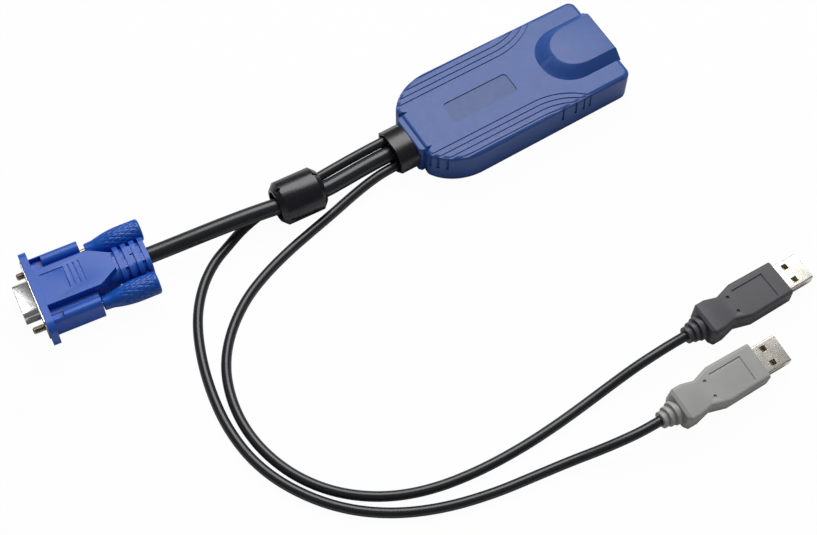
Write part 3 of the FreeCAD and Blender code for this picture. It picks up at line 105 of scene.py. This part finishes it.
class HousingSettings(bpy.types.PropertyGroup):
    """Finish of the housing, its jack and the cable collar."""
    blue: colour("Blue", "Moulded halves of the housing", (0.022, 0.083, 0.335))
    collar: colour("Collar", "Moulded cable collar", (0.014, 0.014, 0.016))
    edge: length("Edge", "Rounding of the housing's moulded edges", 0.28)
    collar_edge: length("Collar edge", "Rounding of the collar's edges", 0.6)
    shoulder_swell: length("Shoulder swell", "How far the round shoulders stand out", 1.6)
    end_swell: length("End swell", "How far the jack end stands out at the top", 0.8)
    groove_fill: length("Groove fill", "How much shallower the grooves are", 0.2)
    # painted shade: how far the label recess is darkened
    label_painted_shade: FloatProperty(name="Label shade", description="Darkening of the label recess", default=0.24)
    hump_forward: length("Hump forward", "How far the hump's foot reaches on", 1.1)


class CordSettings(bpy.types.PropertyGroup):
    """Sizes and finish of the cords."""
    video: length("Video cord", "Diameter of the video cord", 6.8)
    usb: length("USB cord", "Diameter of each USB cord", 4.0)
    jacket: colour("Jacket", "Cord jackets", (0.020, 0.021, 0.026))


class FerriteSettings(bpy.types.PropertyGroup):
    """Finish of the clip-on ferrite."""
    case: colour("Case", "Plastic case", (0.013, 0.013, 0.018))
    edge: length("Edge", "Rounding of the case's edges", 0.25)


class VideoSettings(bpy.types.PropertyGroup):
    """Sizes and finish of the video plug."""
    hood: colour("Hood", "Moulded hood", (0.016, 0.110, 0.560))
    knob: colour("Knob", "Thumbscrew knobs", (0.003, 0.092, 0.490))
    plate: colour("Plate", "Plated metal", (0.86, 0.86, 0.87))
    screw: colour("Screw", "Thumbscrew metal", (0.42, 0.36, 0.28))
    edge: length("Edge", "Rounding of the hood's edges", 0.45)
    knob_front: length("Knob front", "Radius of a knob at its neck", 2.8)
    knob_rear: length("Knob rear", "Radius of a knob's knurled part", 4.6)
    knob_length: length("Knob length", "Length of a knob", 22.8)
    knob_neck: length("Knob neck", "Length of a knob's plain part", 5.5)
    swell_start: length("Swell start", "Where a knob starts to widen", 3.5)
    swell_run: length("Swell run", "Length over which a knob widens", 11.5)
    knurl_depth: length("Knurl depth", "Depth of the diamond knurl", 0.22)
    knurl_pitch: length("Knurl pitch", "Length of one diamond along the knob", 4.6)
    thread: length("Thread", "Radius over the threads", 1.42)
    thread_root: length("Thread root", "Radius under the threads", 1.15)
    thread_pitch: length("Thread pitch", "Distance between threads", 0.635)
    thread_run: length("Thread run", "Length of the threads", 4.8)
    relief_swell: FloatProperty(name="Relief swell", description="Widening of the strain relief",
                                default=1.07)
    knurl_count: IntProperty(name="Knurl count", description="Diamonds round a knob", default=16)


class UsbSettings(bpy.types.PropertyGroup):
    """Sizes and finish of the USB plugs."""
    dark: colour("Dark grip", "Grip of the dark plug", (0.085, 0.085, 0.096))
    light: colour("Light grip", "Grip of the light plug", (0.430, 0.435, 0.420))
    plate: colour("Plate", "Plated shell", (0.80, 0.77, 0.70))
    tongue: colour("Tongue", "Insulator", (0.75, 0.72, 0.64))
    dark_roll: FloatProperty(name="Dark roll", description="Degrees the dark plug is rolled", default=3.0)
    light_roll: FloatProperty(name="Light roll", description="Degrees the light plug is rolled", default=9.0)
    reach: length("Reach", "Shell standing out of the grip", 11.85)
    grip_edge: length("Grip edge", "Rounding of the grips' edges", 0.3)
    dimple: length("Dimple", "Radius of the dimples in the grips", 0.65)
    dimple_at: length("Dimple place", "From the grip's front to its dimples", 23.6)
    dimple_row: length("Dimple row", "From the grip's middle to its dimples", 3.4)


class StageSettings(bpy.types.PropertyGroup):
    """Camera, lamps and floor."""
    camera_at: FloatVectorProperty(name="Camera", description="Camera position", subtype="TRANSLATION",
                                   default=(-0.3041, -0.4199, 0.7387))
    look_at: FloatVectorProperty(name="Look at", description="Point the camera looks at",
                                 subtype="TRANSLATION", default=(-0.07335, -0.04481, 0.0))
    lens: FloatProperty(name="Lens", description="Focal length in millimetres", default=96.94)
    key_power: FloatProperty(name="Key power", description="Overhead lamp", unit="POWER", default=10.0)
    key_size: FloatProperty(name="Key size", description="Width of the lamp", unit="LENGTH", default=0.75)
    key_at: FloatVectorProperty(name="Key place", description="Where the lamp hangs",
                                subtype="TRANSLATION", default=(0.21, 0.40, 0.90))
    key_target: FloatVectorProperty(name="Key target", description="Point the lamp shines at",
                                    subtype="TRANSLATION", default=(-0.08, -0.06, 0.0))
    floor_glow: FloatProperty(name="Floor glow", description="How far the floor reads white to the camera",
                              default=0.97)
    fill: FloatProperty(name="Fill", description="Strength of the surrounding light", default=0.12)


GROUPS = {"dongle_housing": HousingSettings, "dongle_cord": CordSettings, "dongle_ferrite": FerriteSettings,
          "dongle_video": VideoSettings, "dongle_usb": UsbSettings, "dongle_stage": StageSettings}


# ---- finishes --------------------------------------------------------------------------------------

CLOUD_SCALE = 90.0  # cloudy patches of a plastic in each metre


def shader(name):
    """A new material: its tree and its Principled shader."""
    material = bpy.data.materials.new(name)
    material.use_nodes = True
    return material, material.node_tree, material.node_tree.nodes["Principled BSDF"]


def object_noise(tree, scale, detail=2.0):
    """Noise on Object coordinates; scale is in features per metre."""
    place = tree.nodes.new("ShaderNodeTexCoord")
    noise = tree.nodes.new("ShaderNodeTexNoise")
    noise.inputs["Scale"].default_value = scale
    noise.inputs["Detail"].default_value = detail
    tree.links.new(place.outputs["Object"], noise.inputs["Vector"])
    return noise.outputs["Fac"]


def spread_value(tree, value, low, high):
    """The middle of a noise value stretched to a range."""
    remap = tree.nodes.new("ShaderNodeMapRange")
    remap.inputs["From Min"].default_value = 0.3
    remap.inputs["From Max"].default_value = 0.7
    remap.inputs["To Min"].default_value = low
    remap.inputs["To Max"].default_value = high
    tree.links.new(value, remap.inputs["Value"])
    return remap.outputs["Result"]


def mottled(tree, value, base, amount):
    """The base colour, a little darker and lighter with the value."""
    mix = tree.nodes.new("ShaderNodeMix")
    mix.data_type = "RGBA"
    mix.inputs["A"].default_value = (*(channel * (1 - amount) for channel in base), 1)
    mix.inputs["B"].default_value = (*(min(channel * (1 + amount), 1) for channel in base), 1)
    tree.links.new(value, mix.inputs["Factor"])
    return mix.outputs["Result"]


def grain_bump(tree, value, depth, strength=1.0):
    """A normal from a height value."""
    bump = tree.nodes.new("ShaderNodeBump")
    bump.inputs["Strength"].default_value = strength
    bump.inputs["Distance"].default_value = depth
    tree.links.new(value, bump.inputs["Height"])
    return bump.outputs["Normal"]


def plastic(name, base, roughness, grain=2600.0, depth=0.02 * MM, amount=0.06):
    """Moulded plastic: fine eroded grain, faint cloudiness and slightly uneven gloss."""
    material, tree, surface = shader(name)
    cloudiness = spread_value(tree, object_noise(tree, CLOUD_SCALE), 0.0, 1.0)
    tree.links.new(mottled(tree, cloudiness, base, amount), surface.inputs["Base Color"])
    gloss = spread_value(tree, object_noise(tree, CLOUD_SCALE * 4), roughness - 0.015, roughness + 0.02)
    tree.links.new(gloss, surface.inputs["Roughness"])
    height = object_noise(tree, grain, 3.0)
    tree.links.new(grain_bump(tree, height, depth), surface.inputs["Normal"])
    return material


def ringed(material, pitch, depth):
    """Adds fine rings across X to a finish."""
    tree = material.node_tree
    surface = tree.nodes["Principled BSDF"]
    place = tree.nodes.new("ShaderNodeTexCoord")
    wave = tree.nodes.new("ShaderNodeTexWave")
    waves_per_unit = 20 / math.tau
    wave.inputs["Scale"].default_value = 1 / (waves_per_unit * pitch)
    bump = tree.nodes.new("ShaderNodeBump")
    bump.inputs["Distance"].default_value = depth
    tree.links.new(place.outputs["Object"], wave.inputs["Vector"])
    tree.links.new(wave.outputs["Fac"], bump.inputs["Height"])
    tree.links.new(surface.inputs["Normal"].links[0].from_socket, bump.inputs["Normal"])
    tree.links.new(bump.outputs["Normal"], surface.inputs["Normal"])
    return material


def paint_shade_inside(material, middle, half, amount):
    """Darkens a finish inside a small box of the row frame, as painted shade."""
    tree = material.node_tree
    surface = tree.nodes["Principled BSDF"]
    place = tree.nodes.new("ShaderNodeTexCoord")
    split = tree.nodes.new("ShaderNodeSeparateXYZ")
    tree.links.new(place.outputs["Object"], split.inputs["Vector"])
    inside = None
    for axis, centre, reach in zip("XYZ", middle, half):
        near = tree.nodes.new("ShaderNodeMath")
        near.operation = "COMPARE"
        near.inputs[1].default_value = centre
        near.inputs[2].default_value = reach
        tree.links.new(split.outputs[axis], near.inputs[0])
        if inside:
            both = tree.nodes.new("ShaderNodeMath")
            both.operation = "MULTIPLY"
            tree.links.new(inside, both.inputs[0])
            tree.links.new(near.outputs[0], both.inputs[1])
            inside = both.outputs[0]
        else:
            inside = near.outputs[0]
    share = tree.nodes.new("ShaderNodeMath")
    share.operation = "MULTIPLY"
    share.inputs[1].default_value = amount
    tree.links.new(inside, share.inputs[0])
    mix = tree.nodes.new("ShaderNodeMix")
    mix.data_type = "RGBA"
    mix.inputs["B"].default_value = (0.0, 0.0, 0.0, 1)
    tree.links.new(share.outputs[0], mix.inputs["Factor"])
    tree.links.new(surface.inputs["Base Color"].links[0].from_socket, mix.inputs["A"])
    tree.links.new(mix.outputs["Result"], surface.inputs["Base Color"])
    return material


def metal(name, base, roughness, depth=0.001 * MM):
    """Plated metal with fine marks and a little tarnish."""
    material, tree, surface = shader(name)
    surface.inputs["Metallic"].default_value = 1.0
    patches = spread_value(tree, object_noise(tree, 320.0), 0.0, 1.0)
    tree.links.new(mottled(tree, patches, base, 0.04), surface.inputs["Base Color"])
    marks = object_noise(tree, 3000.0)
    tree.links.new(spread_value(tree, marks, roughness - 0.04, roughness + 0.08), surface.inputs["Roughness"])
    tree.links.new(grain_bump(tree, marks, depth), surface.inputs["Normal"])
    return material


def jacket(name, base):
    """Cord jacket: smooth PVC with faint waviness from the wires inside."""
    material, tree, surface = shader(name)
    cloudiness = spread_value(tree, object_noise(tree, 160.0), 0.0, 1.0)
    tree.links.new(mottled(tree, cloudiness, base, 0.06), surface.inputs["Base Color"])
    gloss = spread_value(tree, object_noise(tree, 160.0), 0.26, 0.32)
    tree.links.new(gloss, surface.inputs["Roughness"])
    waves = object_noise(tree, 420.0, 3.0)
    tree.links.new(grain_bump(tree, waves, 0.008 * MM, 0.6), surface.inputs["Normal"])
    return material


# ---- pieces ----------------------------------------------------------------------------------------

def show(bm, name, body, material, replaces=(), sharp=32.0):
    """Turns a finished bmesh, which is in the row frame, into a piece that rides on the body."""
    mesh = bpy.data.meshes.new(name)
    bm.to_mesh(mesh)
    bm.free()
    mesh.materials.append(material)
    mesh.shade_smooth()
    mesh.set_sharp_from_angle(angle=math.radians(sharp))
    piece = bpy.data.objects.new(name, mesh)
    bpy.context.collection.objects.link(piece)
    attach(piece, body)
    if replaces:
        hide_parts(*replaces)
    return piece


def welded(node):
    """A bmesh of a CAD node's surface with its facets joined and its flat faces whole."""
    bm = bmesh.new()
    bm.from_mesh(frame["nodes"][node].data)
    bmesh.ops.remove_doubles(bm, verts=bm.verts, dist=0.002 * MM)
    bmesh.ops.dissolve_limit(bm, angle_limit=math.radians(0.4), verts=bm.verts, edges=bm.edges)
    return bm


def eased(node, name, body, material, edge, segments=3, shape=None, cutters=(), sharp=32.0):
    """The CAD node's own form with its sharp edges rounded, as a piece that replaces it."""
    bm = welded(node)
    if shape:
        shape(bm)
    piece = show(bm, name, body, material, (node,), sharp)
    for cutter in cutters:
        carve(piece, cutter, sharp)
    bevel = piece.modifiers.new("Edges", "BEVEL")
    bevel.width = edge
    bevel.segments = segments
    bevel.limit_method = "ANGLE"
    bevel.angle_limit = math.radians(sharp)
    bevel.harden_normals = True
    return piece


def carve(piece, cutter, sharp):
    """Cuts the bmesh out of the piece."""
    mesh = bpy.data.meshes.new("cutter")
    cutter.to_mesh(mesh)
    cutter.free()
    tool = bpy.data.objects.new("cutter", mesh)
    bpy.context.collection.objects.link(tool)
    cut = piece.modifiers.new("Cut", "BOOLEAN")
    cut.operation = "DIFFERENCE"
    cut.solver = "EXACT"
    cut.object = tool
    graph = bpy.context.evaluated_depsgraph_get()
    result = bpy.data.meshes.new_from_object(piece.evaluated_get(graph))
    piece.modifiers.remove(cut)
    finish = piece.data.materials[0]
    piece.data = result
    result.materials.clear()
    result.materials.append(finish)
    result.shade_smooth()
    result.set_sharp_from_angle(angle=math.radians(sharp))
    bpy.data.objects.remove(tool)


def mount_place(name, back):
    """The matrix of a plug's own frame: +X out of the mount, +Y level, the origin that far behind it."""
    mount = next(m for m in frame["record"]["mounts"] if m["name"] == name)
    out = Vector(mount["axis"]).normalized()
    side = Vector((0, 0, 1)).cross(out).normalized()
    turn = Matrix((out, side, out.cross(side))).transposed().to_4x4()
    return Matrix.Translation(Vector(mount["pos_m"]) - out * back) @ turn


def smooth_share(value, low, high):
    """How far the value lies from low to high, from 0 to 1, with soft ends."""
    share = min(max((value - low) / (high - low), 0.0), 1.0)
    return share * share * (3 - 2 * share)


def joint_place(side, node):
    """A thumbscrew's own frame, +X along its axis from the node's front end, and the node's length."""
    joint = next(j for j in frame["joints"] if j["name"] == f"{side}_thumbscrew_turn")
    axis, middle = Vector(joint["axis"]).normalized(), Vector(joint["pos_m"])
    along = [(Vector(v.co) - middle).dot(axis) for v in frame["nodes"][node].data.vertices]
    level = Vector((0, 0, 1)).cross(axis).normalized()
    turn = Matrix((axis, level, axis.cross(level))).transposed().to_4x4()
    return Matrix.Translation(middle + axis * min(along)) @ turn, max(along) - min(along)


def finish_nodes(material, *nodes):
    """Gives CAD nodes that stay as they are a material."""
    for node in nodes:
        mesh = frame["nodes"][node].data
        mesh.materials.clear()
        mesh.materials.append(material)


def spun(profile, steps):
    """A closed bmesh from a profile of (x, radius) turned about X; its ends lie on the axis."""
    bm = bmesh.new()
    verts = [bm.verts.new((x, radius, 0)) for x, radius in profile]
    edges = [bm.edges.new(pair) for pair in zip(verts, verts[1:])]
    bmesh.ops.spin(bm, geom=verts + edges, cent=(0, 0, 0), axis=(1, 0, 0), angle=math.tau, steps=steps,
                   use_merge=True)
    bmesh.ops.remove_doubles(bm, verts=bm.verts, dist=0.001 * MM)
    bmesh.ops.recalc_face_normals(bm, faces=bm.faces)
    return bm


# ---- operators -------------------------------------------------------------------------------------

class DONGLE_OT_housing(bpy.types.Operator):
    """The two moulded halves of the housing and their screws"""
    bl_idname = "dongle.housing"
    bl_label = "Housing"

    def execute(self, context):
        settings = context.scene.dongle_housing
        blue = plastic("housing_blue", settings.blue, 0.42, grain=3400.0, depth=0.03 * MM, amount=0.015)
        # painted shade: the label recess of the housing is darkened
        label_middle = (-12.0 * MM, 0.0, 14.8 * MM)
        label_half = (15.2 * MM, 5.3 * MM, 0.25 * MM)
        paint_shade_inside(blue, label_middle, label_half, settings.label_painted_shade)
        for node, name in (("housing_top", "upper_half"), ("housing_bottom", "lower_half")):
            eased(node, name, MODULE, blue, settings.edge, sharp=21.0,
                  shape=lambda bm: self.fuller(bm, settings))
        finish_nodes(metal("screw_zinc", (0.62, 0.62, 0.60), 0.35), "housing_screws")
        return {"FINISHED"}

    @staticmethod
    def fuller(bm, settings):
        """Fills the grooves a little, fills out the shoulders and jack end, and brings the hump forward."""
        groove_floor, level = 14.6 * MM, 0.03 * MM
        top_face, hump_half, hump_start, hump_end = 15.15 * MM, 14.2 * MM, 15.0 * MM, 36.0 * MM
        foot_start, crown_lag, crown_lead = 18.0 * MM, 6.0 * MM, 0.75
        for vert in bm.verts:
            x, y, z = vert.co
            if abs(z - groove_floor) < level:
                vert.co.z += settings.groove_fill
            shoulder = smooth_share(-x, 24 * MM, 44 * MM) * smooth_share(abs(y), 8.6 * MM, 13 * MM)
            end = smooth_share(x, 34 * MM, 46 * MM) * smooth_share(z, 0.0, 8 * MM)
            vert.co.x += settings.end_swell * end - settings.shoulder_swell * shoulder
            if z > top_face and abs(y) < hump_half and hump_start < x < hump_end:
                crown = smooth_share(z, 15.5 * MM, 18 * MM)
                reach = settings.hump_forward * (1 + crown_lead * crown)
                vert.co.x -= reach * (1 - smooth_share(x, foot_start + crown_lag * crown, hump_end))


class DONGLE_OT_electronics(bpy.types.Operator):
    """The network jack, the circuit board and what stands on it"""
    bl_idname = "dongle.electronics"
    bl_label = "Electronics"

    def execute(self, context):
        finish_nodes(plastic("board_mask", (0.01, 0.10, 0.04), 0.35), "circuit_board")
        finish_nodes(plastic("chip_resin", (0.02, 0.02, 0.022), 0.5), "interface_chips")
        finish_nodes(plastic("header_nylon", (0.75, 0.72, 0.64), 0.4), "cable_header")
        eased("jack_body", "jack_moulding", MODULE,
              plastic("jack_black", (0.014, 0.014, 0.016), 0.42), 0.15 * MM)
        eased("jack_shield", "jack_screen", MODULE,
              metal("tinned_sheet", (0.72, 0.72, 0.72), 0.3), 0.06 * MM, 2)
        finish_nodes(metal("jack_gold", (0.85, 0.62, 0.24), 0.2), "jack_contacts")
        return {"FINISHED"}


class DONGLE_OT_cords(bpy.types.Operator):
    """The collar and the three cords"""
    bl_idname = "dongle.cords"
    bl_label = "Cords"

    def execute(self, context):
        housing = context.scene.dongle_housing
        settings = context.scene.dongle_cord
        black = plastic("collar_black", housing.collar, 0.27, depth=0.012 * MM)
        eased("cable_collar", "collar_moulding", MODULE, black, housing.collar_edge,
              sharp=50.0)
        cover = jacket("cord_jacket", settings.jacket)
        for name, (node, route, reach, on_it) in CORDS.items():
            size = settings.video if name == "video_lead" else settings.usb
            lead = self.lead(name, route, size, cover)
            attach(lead, MODULE)
            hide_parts(node)
            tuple(route[0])
            [bpy.data.objects[piece] for piece in on_it]
        return {"FINISHED"}

    @staticmethod
    def lead(name, route, size, cover):
        """A round cord on a smooth curve."""
        curve = bpy.data.curves.new(name, "CURVE")
        curve.dimensions = "3D"
        curve.bevel_depth = size / 2
        curve.bevel_resolution = 6
        curve.resolution_u = 10
        curve.use_fill_caps = True
        curve.materials.append(cover)
        spline = curve.splines.new("NURBS")
        spline.points.add(len(route) - 1)
        for point, place in zip(spline.points, route):
            point.co = (*place, 1.0)
        spline.order_u = 3
        spline.use_endpoint_u = True
        lead = bpy.data.objects.new(name, curve)
        bpy.context.collection.objects.link(lead)
        return lead


class DONGLE_OT_ferrite(bpy.types.Operator):
    """The clip-on ferrite's hinged case and its core"""
    bl_idname = "dongle.ferrite"
    bl_label = "Ferrite"

    def execute(self, context):
        settings = context.scene.dongle_ferrite
        case = ringed(plastic("ferrite_case", settings.case, 0.26, depth=0.008 * MM), 0.9 * MM, 0.012 * MM)
        eased("ferrite_case_lower", "ferrite_base", MODULE, case, settings.edge)
        eased("ferrite_case_upper", "ferrite_lid_case", "ferrite_lid", case, settings.edge)
        finish_nodes(plastic("sintered_core", (0.05, 0.05, 0.055), 0.45, grain=1500.0),
                     "ferrite_core_lower", "ferrite_core_upper")
        return {"FINISHED"}


class DONGLE_OT_video_plug(bpy.types.Operator):
    """The video plug's hood, plate, shell, insulator and pins"""
    bl_idname = "dongle.video_plug"
    bl_label = "Video plug"

    def execute(self, context):
        settings = context.scene.dongle_video
        blue = plastic("hood_blue", settings.hood, 0.36, depth=0.02 * MM, amount=0.05)
        eased("video_hood", "hood_moulding", MODULE, blue, settings.edge,
              shape=lambda bm: self.wider_relief(bm, settings.relief_swell))
        plate = metal("nickel_plate", settings.plate, 0.2)
        eased("video_shell", "video_plate", MODULE, plate, 0.12 * MM)
        finish_nodes(plastic("insulator_black", (0.015, 0.015, 0.017), 0.45), "video_insulator")
        finish_nodes(metal("pin_gold", (0.86, 0.66, 0.28), 0.2), "video_pins")
        return {"FINISHED"}

    @staticmethod
    def wider_relief(bm, swell):
        """Widens the strain relief behind the hood."""
        mount_to_flange, relief_start = 6.6 * MM, -33.2 * MM
        place = mount_place("video_plug", mount_to_flange)
        inverse = place.inverted()
        for vert in bm.verts:
            own = inverse @ vert.co
            if own.x < relief_start:
                own.y *= swell
                vert.co = place @ own


class DONGLE_OT_thumbscrews(bpy.types.Operator):
    """The two thumbscrews: knurled knobs on metal screws"""
    bl_idname = "dongle.thumbscrews"
    bl_label = "Thumbscrews"

    def execute(self, context):
        settings = context.scene.dongle_video
        blue = plastic("knob_blue", settings.knob, 0.34, depth=0.015 * MM, amount=0.05)
        nickel = metal("screw_nickel", settings.screw, 0.3)
        for side in ("near", "far"):
            body = f"{side}_thumbscrew"
            show(self.knob(settings, side), f"{side}_grip", body, blue, (f"{side}_knob",), 40.0)
            show(self.rod(settings, side), f"{side}_rod", body, nickel,
                 (f"{side}_screw",))
        return {"FINISHED"}

    @staticmethod
    def knob(settings, side):
        """A knob: plain neck, then a long swell with a diamond knurl and a rounded end."""
        end, front, rear = settings.knob_length, settings.knob_front, settings.knob_rear
        start, swell = settings.swell_start, settings.swell_run
        chamfer, taper, end_round, rows = 0.3 * MM, 0.2 * MM, 1.0 * MM, 64
        profile = [(0, 0), (0, front - chamfer), (chamfer, front), (start, front + taper)]
        last = end - end_round
        for step in range(1, rows + 1):
            along = start + (last - start) * step / rows
            share = min((along - start) / swell, 1.0)
            profile.append((along, rear - (rear - front - taper) * (1 - share) ** 2))
        profile += [(end - 0.6 * end_round, rear - 0.1 * end_round),
                    (end - 0.2 * end_round, rear - 0.45 * end_round), (end, rear - end_round), (end, 0)]
        bm = spun(profile, settings.knurl_count * 8)
        first, fade_in, fade_out = settings.knob_neck, 3.0 * MM, 0.8 * MM
        for vert in bm.verts:
            radius = math.hypot(vert.co.y, vert.co.z)
            if radius < front or not first < vert.co.x < last:
                continue
            turn = math.atan2(vert.co.z, vert.co.y) / math.tau * settings.knurl_count
            along = (vert.co.x - first) / settings.knurl_pitch
            ridges = [abs((turn + way * along) % 1.0 - 0.5) * 2 for way in (1, -1)]
            groove = max(0.0, 1.0 - min(ridges) * 3.0)
            fade = min(1.0, (vert.co.x - first) / fade_in, (last - vert.co.x) / fade_out)
            shrink = 1 - groove * fade * settings.knurl_depth / radius
            vert.co.y *= shrink
            vert.co.z *= shrink
        bm.transform(joint_place(side, f"{side}_knob")[0])
        return bm

    @staticmethod
    def rod(settings, side):
        """A thumbscrew's rod: rolled threads at the tip and a thinner shank."""
        place, reach = joint_place(side, f"{side}_screw")
        crest, root, pitch = settings.thread, settings.thread_root, settings.thread_pitch
        point, point_step = 0.35 * MM, 0.15 * MM
        profile = [(0, 0), (0, root - point_step), (point, root)]
        for index in range(int((settings.thread_run - point) / pitch)):
            start = point + index * pitch
            profile += [(start + 0.35 * pitch, crest), (start + 0.6 * pitch, crest), (start + pitch, root)]
        profile += [(reach, root), (reach, 0)]
        bm = spun(profile, 32)
        bm.transform(place)
        return bm


class DONGLE_OT_usb_plugs(bpy.types.Operator):
    """The two USB plugs"""
    bl_idname = "dongle.usb_plugs"
    bl_label = "USB plugs"

    def execute(self, context):
        settings = context.scene.dongle_usb
        plate = metal("usb_nickel", settings.plate, 0.28, depth=0.0002 * MM)
        for tone, node, base, roll in (("dark", "black", settings.dark, settings.dark_roll),
                                       ("light", "grey", settings.light, settings.light_roll)):
            moulding = plastic(f"grip_{tone}", base, 0.46, grain=2200.0, depth=0.03 * MM)
            rolled = Matrix.Rotation(math.radians(roll), 4, "X")
            place = mount_place(f"usb_plug_{node}", settings.reach) @ rolled
            eased(f"{node}_grip", f"{tone}_grip", MODULE, moulding, settings.grip_edge,
                  cutters=self.dimples(settings, place), sharp=24.0)
            eased(f"{node}_shell", f"{tone}_shell", MODULE, plate, 0.1 * MM)
        finish_nodes(plastic("tongue_nylon", settings.tongue, 0.4), "black_tongue", "grey_tongue")
        finish_nodes(metal("usb_gold", (0.86, 0.64, 0.26), 0.2), "black_contacts", "grey_contacts")
        return {"FINISHED"}

    @staticmethod
    def dimples(settings, place):
        """The cutters for the two round dimples in a grip's top."""
        depth, height = 2.0 * MM, 4.5 * MM
        for row in (-settings.dimple_row, settings.dimple_row):
            bm = bmesh.new()
            bmesh.ops.create_cone(bm, cap_ends=True, segments=24, radius1=settings.dimple,
                                  radius2=settings.dimple, depth=depth)
            bm.transform(place @ Matrix.Translation((-settings.dimple_at, row, height)))
            yield bm


class DONGLE_OT_stage(bpy.types.Operator):
    """Floor, lamps, surrounding light and camera"""
    bl_idname = "dongle.stage"
    bl_label = "Stage"

    def execute(self, context):
        settings = context.scene.dongle_stage
        self.floor(settings.floor_glow)
        self.surroundings(context, settings.fill)
        self.lamp("key_lamp", settings)
        camera = bpy.data.cameras.new("camera")
        camera.lens = settings.lens
        camera.sensor_width = 36.0
        holder = bpy.data.objects.new("camera", camera)
        context.collection.objects.link(holder)
        holder.location = settings.camera_at
        self.aim(holder, settings.look_at)
        context.scene.camera = holder
        context.scene.view_settings.view_transform = "Standard"
        return {"FINISHED"}

    @staticmethod
    def aim(item, target):
        """Points the item's -Z axis at the target."""
        item.rotation_euler = (Vector(target) - item.location).to_track_quat("-Z", "Y").to_euler()

    def lamp(self, name, settings):
        """A square soft lamp that shines at the middle of the object."""
        lamp = bpy.data.lights.new(name, "AREA")
        lamp.energy = settings.key_power
        lamp.size = settings.key_size
        holder = bpy.data.objects.new(name, lamp)
        bpy.context.collection.objects.link(holder)
        holder.location = settings.key_at
        self.aim(holder, settings.key_target)

    @staticmethod
    def floor(whiteness):
        """A pale floor that reads white and keeps a faint shadow."""
        bm = bmesh.new()
        bmesh.ops.create_grid(bm, x_segments=1, y_segments=1, size=4.0)
        mesh = bpy.data.meshes.new("floor")
        bm.to_mesh(mesh)
        bm.free()
        floor = bpy.data.objects.new("floor", mesh)
        bpy.context.collection.objects.link(floor)
        material, tree, surface = shader("pale_floor")
        surface.inputs["Base Color"].default_value = (0.85, 0.85, 0.86, 1)
        surface.inputs["Roughness"].default_value = 0.9
        glow = tree.nodes.new("ShaderNodeEmission")
        glow.inputs["Color"].default_value = (1, 1, 1, 1)
        rays = tree.nodes.new("ShaderNodeLightPath")
        share = tree.nodes.new("ShaderNodeMath")
        share.operation = "MULTIPLY"
        share.inputs[1].default_value = whiteness
        mix = tree.nodes.new("ShaderNodeMixShader")
        tree.links.new(rays.outputs["Is Camera Ray"], share.inputs[0])
        tree.links.new(share.outputs[0], mix.inputs["Fac"])
        tree.links.new(surface.outputs["BSDF"], mix.inputs[1])
        tree.links.new(glow.outputs["Emission"], mix.inputs[2])
        tree.links.new(mix.outputs["Shader"], tree.nodes["Material Output"].inputs["Surface"])
        mesh.materials.append(material)

    @staticmethod
    def surroundings(context, fill):
        """Even surrounding light; the camera sees it as white."""
        world = bpy.data.worlds.new("surroundings")
        context.scene.world = world
        world.use_nodes = True
        tree = world.node_tree
        light = tree.nodes["Background"]
        light.inputs["Color"].default_value = (1, 1, 1, 1)
        light.inputs["Strength"].default_value = fill
        white = tree.nodes.new("ShaderNodeBackground")
        white.inputs["Color"].default_value = (1, 1, 1, 1)
        rays = tree.nodes.new("ShaderNodeLightPath")
        mix = tree.nodes.new("ShaderNodeMixShader")
        tree.links.new(rays.outputs["Is Camera Ray"], mix.inputs["Fac"])
        tree.links.new(light.outputs["Background"], mix.inputs[1])
        tree.links.new(white.outputs["Background"], mix.inputs[2])
        tree.links.new(mix.outputs["Shader"], tree.nodes["World Output"].inputs["Surface"])


class DONGLE_PT_panel(bpy.types.Panel):
    """Buttons that build the dongle, piece group by piece group"""
    bl_idname = "DONGLE_PT_panel"
    bl_label = "Dongle"
    bl_space_type = "VIEW_3D"
    bl_region_type = "UI"
    bl_category = "Dongle"

    def draw(self, context):
        for operator in OPERATORS:
            self.layout.operator(operator.bl_idname)
        for name, group in GROUPS.items():
            column = self.layout.column()
            for setting in group.__annotations__:
                column.prop(getattr(context.scene, name), setting)


# the cords come after what lies on them, because they name those pieces
OPERATORS = (DONGLE_OT_housing, DONGLE_OT_electronics, DONGLE_OT_ferrite, DONGLE_OT_video_plug,
             DONGLE_OT_thumbscrews, DONGLE_OT_usb_plugs, DONGLE_OT_cords, DONGLE_OT_stage)


def register():
    """Registers the classes and hangs the settings on the scene."""
    for item in (*GROUPS.values(), *OPERATORS, DONGLE_PT_panel):
        bpy.utils.register_class(item)
    for name, group in GROUPS.items():
        setattr(bpy.types.Scene, name, PointerProperty(type=group))


def unregister():
    """Takes the settings and classes away again."""
    for name in GROUPS:
        delattr(bpy.types.Scene, name)
    for item in reversed((*GROUPS.values(), *OPERATORS, DONGLE_PT_panel)):
        bpy.utils.unregister_class(item)


def main():
    """Builds everything."""
    register()
    for operator in OPERATORS:
        group, name = operator.bl_idname.split(".")
        getattr(getattr(bpy.ops, group), name)()


if __name__ == "__main__":
    main()
